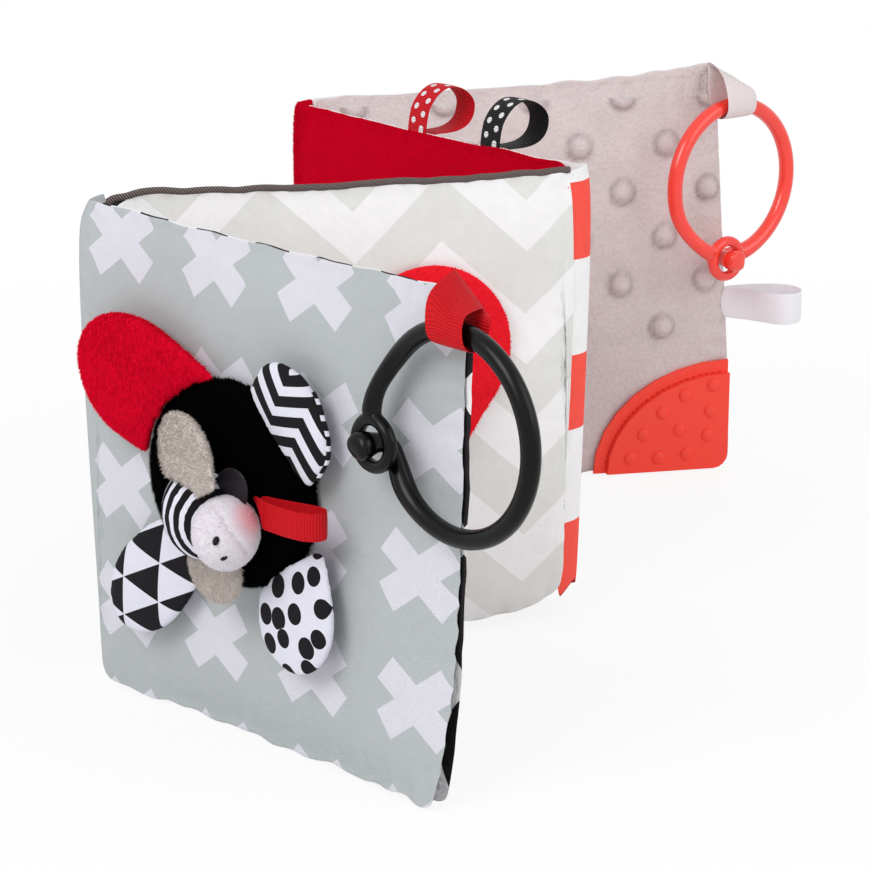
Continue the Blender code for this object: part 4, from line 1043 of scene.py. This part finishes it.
flap = rounded(copy_of("critter_satin_flap", "satin_flap"), 2)
sculpt(flap, pages[0], lambda spot: spot + Vector((-1.0, 0, -3.5)) * MM)
dress(flap, "page_1", dark_satin, "satin", "critter_satin_flap")

# %% [markdown]
# The muzzle is two cheeks with a sewn groove between them. The groove's line is given where it
# shows in the picture, and every point near it is pushed in along its normal.

# %% Muzzle
muzzle = stuffed("critter_muzzle", "white_muzzle", 0.8 * MM, 0.3 * MM)
muzzle_places = [pages[0].inverted() @ vertex.co for vertex in muzzle.data.vertices]
muzzle_side = min(spot.x for spot in muzzle_places)
muzzle_foot = min(spot.z for spot in muzzle_places)


def muzzle_lie(spot):
    return Vector((muzzle_side + (spot.x - muzzle_side) * 0.93, spot.y,
                   muzzle_foot + (spot.z - muzzle_foot) * 0.91))


sculpt(muzzle, pages[0], muzzle_lie)
GROOVE = ((213, 505), (221, 515), (228, 530), (238, 541), (247, 553))


def near_line(point, line):
    """Distance in the picture from a point to a broken line."""
    spot = Vector(in_picture(point))
    best = 99.0
    for here, there in zip(line, line[1:]):
        start, way = Vector(here), Vector(there) - Vector(here)
        share = min(1, max(0, (spot - start).dot(way) / way.length_squared))
        best = min(best, (spot - start - way * share).length)
    return best


towards = CAMERA_PLACE - muzzle_middle
for vertex in muzzle.data.vertices:
    if vertex.normal.dot(towards) > 0:
        far = near_line(vertex.co, GROOVE)
        vertex.co -= vertex.normal * 0.6 * MM * math.exp(-(far / 2.8) ** 2)


def seen_at(piece, px, py):
    """The point of a piece that the camera sees at a place in the picture, and its normal."""
    tree = BVHTree.FromPolygons([v.co for v in piece.data.vertices], [p.vertices[:] for p in piece.data.polygons])
    spot, normal, _, _ = tree.ray_cast(*sight(px, py))
    return spot, normal


cheek = seen_at(muzzle, 250, 517)[0] or muzzle_middle
blushing_plush = finish("blushing_plush", pile, as_it_lies, blush, roughness=1.0,
                        depth=0.15 * MM, shade=0.03, gloss=0.03)
dress(muzzle, "page_1", blushing_plush, "white_plush", "critter_muzzle")

# %% Pile of the animal
for piece, body, material, slot, density, length, width, seed in (
    (critter["plush_body"], "page_1", black_plush, "black_plush", 5, 1.9, 0.36, 5),
    (critter["red_limb"], "critter_red_limb", limb_plush, "red_plush", 7, 1.35, 0.32, 6),
    (critter["upper_ear"], "critter_upper_ear", taupe_plush, "taupe_plush", 9, 1.5, 0.3, 7),
    (critter["lower_ear"], "critter_lower_ear", taupe_plush, "taupe_plush", 9, 1.5, 0.3, 8),
    (muzzle, "page_1", blushing_plush, "white_plush", 9, 0.7, 0.28, 10),
):
    grow_pile(piece, piece.name + "_pile", body, material, density, length * MM, width * MM, seed)

# %% [markdown]
# A striped piping closes the outer edge of the zigzag limb. Its line is found on the limb
# itself: the outermost point at each of ten heights.

# %% Piping of the zigzag limb
def cord_along(line, name, radius):
    """A round cord through a row of points."""
    path = bpy.data.curves.new(name, "CURVE")
    path.dimensions = "3D"
    path.bevel_depth = radius
    path.bevel_resolution = 3
    path.use_fill_caps = True
    spline = path.splines.new("NURBS")
    spline.points.add(len(line) - 1)
    for point, spot in zip(spline.points, line):
        point.co = (*spot, 1)
    spline.use_endpoint_u = True
    spline.order_u = 3
    spline.resolution_u = 6
    cord = bpy.data.objects.new(name, path)
    scene.collection.objects.link(cord)
    only(cord)
    bpy.ops.object.convert(target="MESH")
    bpy.ops.object.shade_smooth()
    return cord


limb_points = [pages[0].inverted() @ vertex.co for vertex in critter["zigzag_limb"].data.vertices]
limb_foot = min(point.z for point in limb_points)
line = []
for step in range(10):
    level = limb_foot + (1.5 + 3.1 * step) * MM
    ring = [point for point in limb_points if abs(point.z - level) < 1.2 * MM]
    line.append(pages[0] @ min(ring, key=lambda point: point.x))
piping = cord_along(line, "zigzag_piping", 0.75 * MM)


def piping_stripes(tree, place):
    parts = put(tree, "SeparateXYZ", {0: place}).outputs
    band = calc(tree, "ABSOLUTE", cell(tree, parts[2], 4.4 * MM, 0.0))
    return tint(tree, calc(tree, "LESS_THAN", band, 0.8 * MM), PRINT_BLACK, PRINT_WHITE)


piping_cloth = finish("piping_stripes", weave, as_it_lies, piping_stripes, **WOVEN)
dress(piping, "critter_zigzag_limb", piping_cloth, "striped_cloth")

# %% [markdown]
# Overlock stitches bind the top seam of page 2: a low dark ridge with pale threads across it,
# which follows the waves of the seam.

# %% Overlock of page 2's top seam
seam_points = [pages[1].inverted() @ vertex.co for node in ("page_2_front_cover", "page_2_back_cover")
               for vertex in covers[node].data.vertices]
seam_points = [point for point in seam_points if point.z > PAGE_TOP - 12 * MM]
line = []
for step in range(65):
    across = 0.3 * MM + (PAGE_WIDTH - 2.3 * MM) * step / 64
    near = [point for point in seam_points if abs(point.x - across) < 1.8 * MM]
    top = max(point.z for point in near)
    crest = [point.y for point in near if point.z > top - 0.8 * MM]
    line.append(pages[1] @ Vector((across, sum(crest) / len(crest), top + 0.1 * MM)))
overlock = cord_along(line, "page_2_overlock", 1.15 * MM)


def overlock_threads(tree, place):
    parts = put(tree, "SeparateXYZ", {0: place}).outputs
    slant = calc(tree, "MULTIPLY_ADD", parts[2], 0.8, parts[0])
    band = calc(tree, "ABSOLUTE", cell(tree, slant, 1.0 * MM, 0.0))
    return tint(tree, calc(tree, "LESS_THAN", band, 0.2 * MM), ink(66, 56, 55), ink(134, 122, 119))


overlock_cloth = finish("overlock_threads", weave, on_page(1), overlock_threads, **WOVEN)
dress(overlock, "page_2", overlock_cloth, "charcoal_plush")
print(overlock.name, len(overlock.data.vertices), "points")

# %% [markdown]
# The eye and nostril are small embroidered ovals.

# %% Face
black_thread = finish("black_thread", ribs, as_it_lies, ink(16, 14, 16), roughness=0.4, depth=0.1 * MM, shade=0.1,
                      effect_values={"Pitch": 0.4 * MM})


def thread_oval(name, px, py, length, width, turn):
    """A flat oval of thread on the muzzle, where the camera sees it."""
    spot, normal = seen_at(muzzle, px, py)
    if spot is None:
        spot, normal = muzzle_middle, Vector((0, -1, 0))
    bpy.ops.object.select_all(action="DESELECT")
    bpy.ops.mesh.primitive_uv_sphere_add(segments=20, ring_count=12, radius=1)
    oval = bpy.context.active_object
    oval.name = name
    face = normal.to_track_quat("Z", "Y").to_matrix().to_4x4()
    size = Matrix.Diagonal((length / 2, width / 2, 1.0 * MM, 1))
    oval.data.transform(Matrix.Translation(spot) @ face @ Matrix.Rotation(math.radians(turn), 4, "Z") @ size)
    bpy.ops.object.shade_smooth()
    oval.data.materials.append(black_thread)
    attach(oval, "page_1")
    return oval


thread_oval("eye", 216, 541, 3.0 * MM, 2.0 * MM, 70)
thread_oval("nostril", 224, 558, 2.4 * MM, 1.0 * MM, 30)

# %% [markdown]
# Ribbons: a copy of the band is rounded, then every point learns how far along the ribbon it
# lies, by walking over the mesh from one end. The ribs and dots follow that.

# %% How far along a ribbon


def measure_ribbon(piece, start, across):
    """Store along and across as attributes, walking from the points nearest to start."""
    points = [vertex.co.copy() for vertex in piece.data.vertices]
    links = [[] for _ in points]
    for edge in piece.data.edges:
        a, b = edge.vertices
        span = points[b] - points[a]
        along = math.sqrt(max(0.0, span.length_squared - span.dot(across) ** 2))
        links[a].append((b, along))
        links[b].append((a, along))
    nearest = min((point - start).length for point in points)
    far = [math.inf] * len(points)
    queue = []
    for index, point in enumerate(points):
        step = point - start
        if (step - across * step.dot(across)).length < nearest + 0.6 * MM:
            far[index] = 0.0
            queue.append((0.0, index))
    heapq.heapify(queue)
    while queue:
        done, index = heapq.heappop(queue)
        if done > far[index]:
            continue
        for other, span in links[index]:
            if done + span < far[other] - 1e-9:
                far[other] = done + span
                heapq.heappush(queue, (done + span, other))
    middle = sum(points, Vector()) / len(points)
    run = piece.data.attributes.new("along", "FLOAT", "POINT")
    side = piece.data.attributes.new("across", "FLOAT", "POINT")
    face = piece.data.attributes.new("outside", "FLOAT", "POINT")
    for index, vertex in enumerate(piece.data.vertices):
        run.data[index].value = far[index]
        side.data[index].value = (points[index] - middle).dot(across)
        face.data[index].value = 1.0 if vertex.normal.dot(points[index] - middle) > 0 else 0.0
    print(piece.name, "is", round(max(v for v in far if v < 1) / MM), "mm long")


def white_dots(base):
    """Two staggered rows of white ovals on the outer face of a ribbon."""
    def paint(tree, place):
        parts = put(tree, "SeparateXYZ", {0: place}).outputs
        outer = put(tree, "Attribute", attribute_name="outside").outputs["Fac"]
        row = calc(tree, "GREATER_THAN", parts[1], 0.0)
        u = cell(tree, calc(tree, "MULTIPLY_ADD", row, 2.6 * MM, parts[0]), 5.2 * MM, 0.0)
        v = calc(tree, "SUBTRACT", calc(tree, "ABSOLUTE", parts[1]), 2.4 * MM)
        far = calc(tree, "SQRT", calc(tree, "ADD", calc(tree, "POWER", u, 2.0), calc(tree, "POWER", v, 2.0)))
        mask = calc(tree, "MULTIPLY", calc(tree, "LESS_THAN", far, 1.15 * MM), calc(tree, "GREATER_THAN", outer, 0.5))
        return tint(tree, mask, base, ink(236, 232, 234))
    return paint


RIBBED = {"roughness": 0.6, "depth": 0.25 * MM, "shade": 0.14, "gloss": 0.15}
red_grosgrain = finish("red_grosgrain", ribs, along_ribbon, ink(196, 12, 24), **RIBBED)
grey_grosgrain = finish("grey_grosgrain", ribs, along_ribbon, ink(228, 216, 216),
                        roughness=0.6, depth=0.1 * MM, shade=0.06)
red_dot_ribbon = finish("red_dot_ribbon", ribs, along_ribbon, white_dots(ink(205, 18, 34)), **RIBBED)
black_dot_ribbon = finish("black_dot_ribbon", ribs, along_ribbon, white_dots(ink(24, 23, 25)), **RIBBED)
white_satin = finish("white_satin", weave, along_ribbon, ink(238, 238, 243), roughness=0.35, depth=0.02 * MM, shade=0.03)

# %% Straps, loops and tag
page_x = [heading_vector(angle) for angle in HEADINGS]
UP = Vector((0, 0, 1))
# Each row ends with the side where the band is sewn in, and how many millimetres it goes in there.
ribbon_plan = (
    ("black_ring_strap", "red_strap", red_grosgrain, "black_ring_strap", page_x[0], UP, 0),
    ("red_ring_strap", "grey_strap", grey_grosgrain, "red_ring_strap", page_x[3], UP, -2.5),
    ("red_ribbon_loop", "red_dot_loop", red_dot_ribbon, "red_ribbon_loop", page_x[2], -UP, 3.5),
    ("black_ribbon_loop", "black_dot_loop", black_dot_ribbon, "black_ribbon_loop", page_x[2], -UP, 3.5),
    ("white_tag_loop", "satin_tag", white_satin, "white_tag_loop", UP, -page_x[3], 3.5),
    ("critter_ribbon", "red_side_ribbon", red_grosgrain, "critter_ribbon", UP, UP, 0),
)


def pull(piece, way, reach, amount):
    """Draw the end that lies furthest along way out, or in, without moving the rest."""
    far = max(vertex.co.dot(way) for vertex in piece.data.vertices)
    for vertex in piece.data.vertices:
        vertex.co += way * amount * max(0, 1 - (far - vertex.co.dot(way)) / reach)


joint_of = {joint["child"]: Vector(joint["pos_m"]) for joint in frame["joints"]}
for node, name, material, body, across, way, amount in ribbon_plan:
    band = rounded(copy_of(node, name), 3)
    pull(band, way, 7 * MM, amount * MM)
    measure_ribbon(band, joint_of[body], across)
    dress(band, body, material, slots[node], node)

# %% [markdown]
# The link rings are moulded plastic: black with a soft gloss, coral red and shinier. The ring
# grows thicker towards its eye, so the points near the eye are moved away from its middle.

# %% Rings
grain, given, result = effect("moulded_grain", {"Scale": 700.0}, ("Height", "Shade"))
specks = put(grain, "TexNoise", {"Vector": given.outputs["Vector"], "Scale": given.outputs["Scale"], "Detail": 2})
grain.links.new(specks.outputs[0], result.inputs["Height"])
grain.links.new(specks.outputs[0], result.inputs["Shade"])
black_plastic = finish("black_moulded_plastic", grain, as_it_lies, ink(4, 4, 3), roughness=0.26,
                       depth=0.02 * MM, shade=0.1, gloss=0.2)
red_plastic = finish("red_moulded_plastic", grain, as_it_lies, ink(246, 58, 44), roughness=0.22, depth=0.01 * MM,
                     shade=0.03, coat=0.3, gloss=0.5)


def thicken(piece, px, py, gain, reach):
    """Swell a piece round the part that shows at a place in the picture."""
    eye = Vector((px, py))
    near = [vertex.co for vertex in piece.data.vertices if (Vector(in_picture(vertex.co)) - eye).length < 17]
    middle = sum(near, Vector()) / len(near)
    for vertex in piece.data.vertices:
        step = vertex.co - middle
        vertex.co = middle + step * (1 + gain * math.exp(-((step.length / reach) ** 2)))


for node, name, material, px, py in (("black_ring", "black_link", black_plastic, 373, 443),
                                     ("red_ring", "red_link", red_plastic, 725, 257)):
    link = rounded(copy_of(node, name), 2)
    thicken(link, px, py, 0.36, 14 * MM)
    dress(link, node, material, slots[node], node)

# %% [markdown]
# The teether is one piece of soft silicone: a flange that is sewn down, a raised plate, and ten
# round bumps to chew on. The bumps are low domes, set on a copy of the solid, whose own small
# bumps are pressed flat. A dashed line of thread runs along the plate.

# %% Teether
silicone = finish("coral_silicone", grain, as_it_lies, ink(255, 74, 58), roughness=0.5,
                  depth=0.03 * MM, shade=0.03, gloss=0.35)
teether_points = [pages[3].inverted() @ v.co for v in frame["nodes"]["corner_teether"].data.vertices]
PLATE_FACE = min(round(point.y, 4) for point in teether_points) + 0.6 * MM
TEETHER_BUMPS = ((162.6, 35.6), (150.9, 31.7), (161.7, 24.8), (141.5, 25.2), (148.8, 17.6),
                 (160.7, 14.8), (133.7, 16.5), (128.5, 6.8), (140.3, 6.4), (152, 7.4))
teether = copy_of("corner_teether", "silicone_teether")


def pressed(spot):
    return Vector((spot.x, max(spot.y, PLATE_FACE), spot.z))


def add_dome(name, x, y, z, radius, height):
    """A low dome that stands out of the last page."""
    bpy.ops.object.select_all(action="DESELECT")
    bpy.ops.mesh.primitive_uv_sphere_add(segments=24, ring_count=12, radius=1)
    dome = bpy.context.active_object
    dome.name = name
    shape = Matrix.Diagonal((radius, height, radius, 1))
    dome.data.transform(pages[3] @ Matrix.Translation((x, y, z)) @ shape)
    bpy.ops.object.shade_smooth()
    return dome


sculpt(teether, pages[3], pressed)
for place, (x, z) in enumerate(TEETHER_BUMPS):
    dome = add_dome(f"teether_bump_{place + 1}", x * MM, PLATE_FACE, z * MM, 2.7 * MM, 1.25 * MM)
    dress(dome, "page_4", silicone, "silicone")
only(teether)
bpy.ops.object.shade_smooth_by_angle(angle=math.radians(35))
dress(teether, "page_4", silicone, slots["corner_teether"], "corner_teether")

# %% Stitches of the teether
corner_places = [pages[3].inverted() @ v.co for v in frame["nodes"]["corner_teether"].data.vertices]
edge_x = max(spot.x for spot in corner_places)
wide = edge_x - min(spot.x for spot in corner_places) - 4.8 * MM
foot_z = min(spot.z for spot in corner_places)
high = max(spot.z for spot in corner_places) - foot_z - 4.8 * MM
teether_thread = finish("teether_thread", grain, as_it_lies, ink(222, 50, 42), roughness=0.7, depth=0.02 * MM, shade=0.05)
STITCHES = 27
stitches = []
for number in range(STITCHES):
    turn = math.radians(4 + 82 * number / (STITCHES - 1))
    spot = Vector((edge_x - wide * math.cos(turn), PLATE_FACE + 2.6 * MM, foot_z + high * math.sin(turn)))
    way = Vector((wide * math.sin(turn), 0, high * math.cos(turn)))
    bpy.ops.object.select_all(action="DESELECT")
    bpy.ops.mesh.primitive_uv_sphere_add(segments=10, ring_count=6, radius=1)
    stitch = bpy.context.active_object
    shape = Matrix.Diagonal((0.95 * MM, 0.3 * MM, 0.28 * MM, 1))
    lie = Matrix.Rotation(-math.atan2(way.z, way.x), 4, "Y")
    stitch.data.transform(pages[3] @ Matrix.Translation(spot) @ lie @ shape)
    stitches.append(stitch)
only(stitches[0])
for stitch in stitches:
    stitch.select_set(True)
bpy.ops.object.join()
stitches[0].name = "teether_stitches"
bpy.ops.object.shade_smooth()
dress(stitches[0], "page_4", teether_thread, "silicone")


# %% Measure and finish
print("left bare:", [n for n, o in frame["nodes"].items() if not o.hide_render])
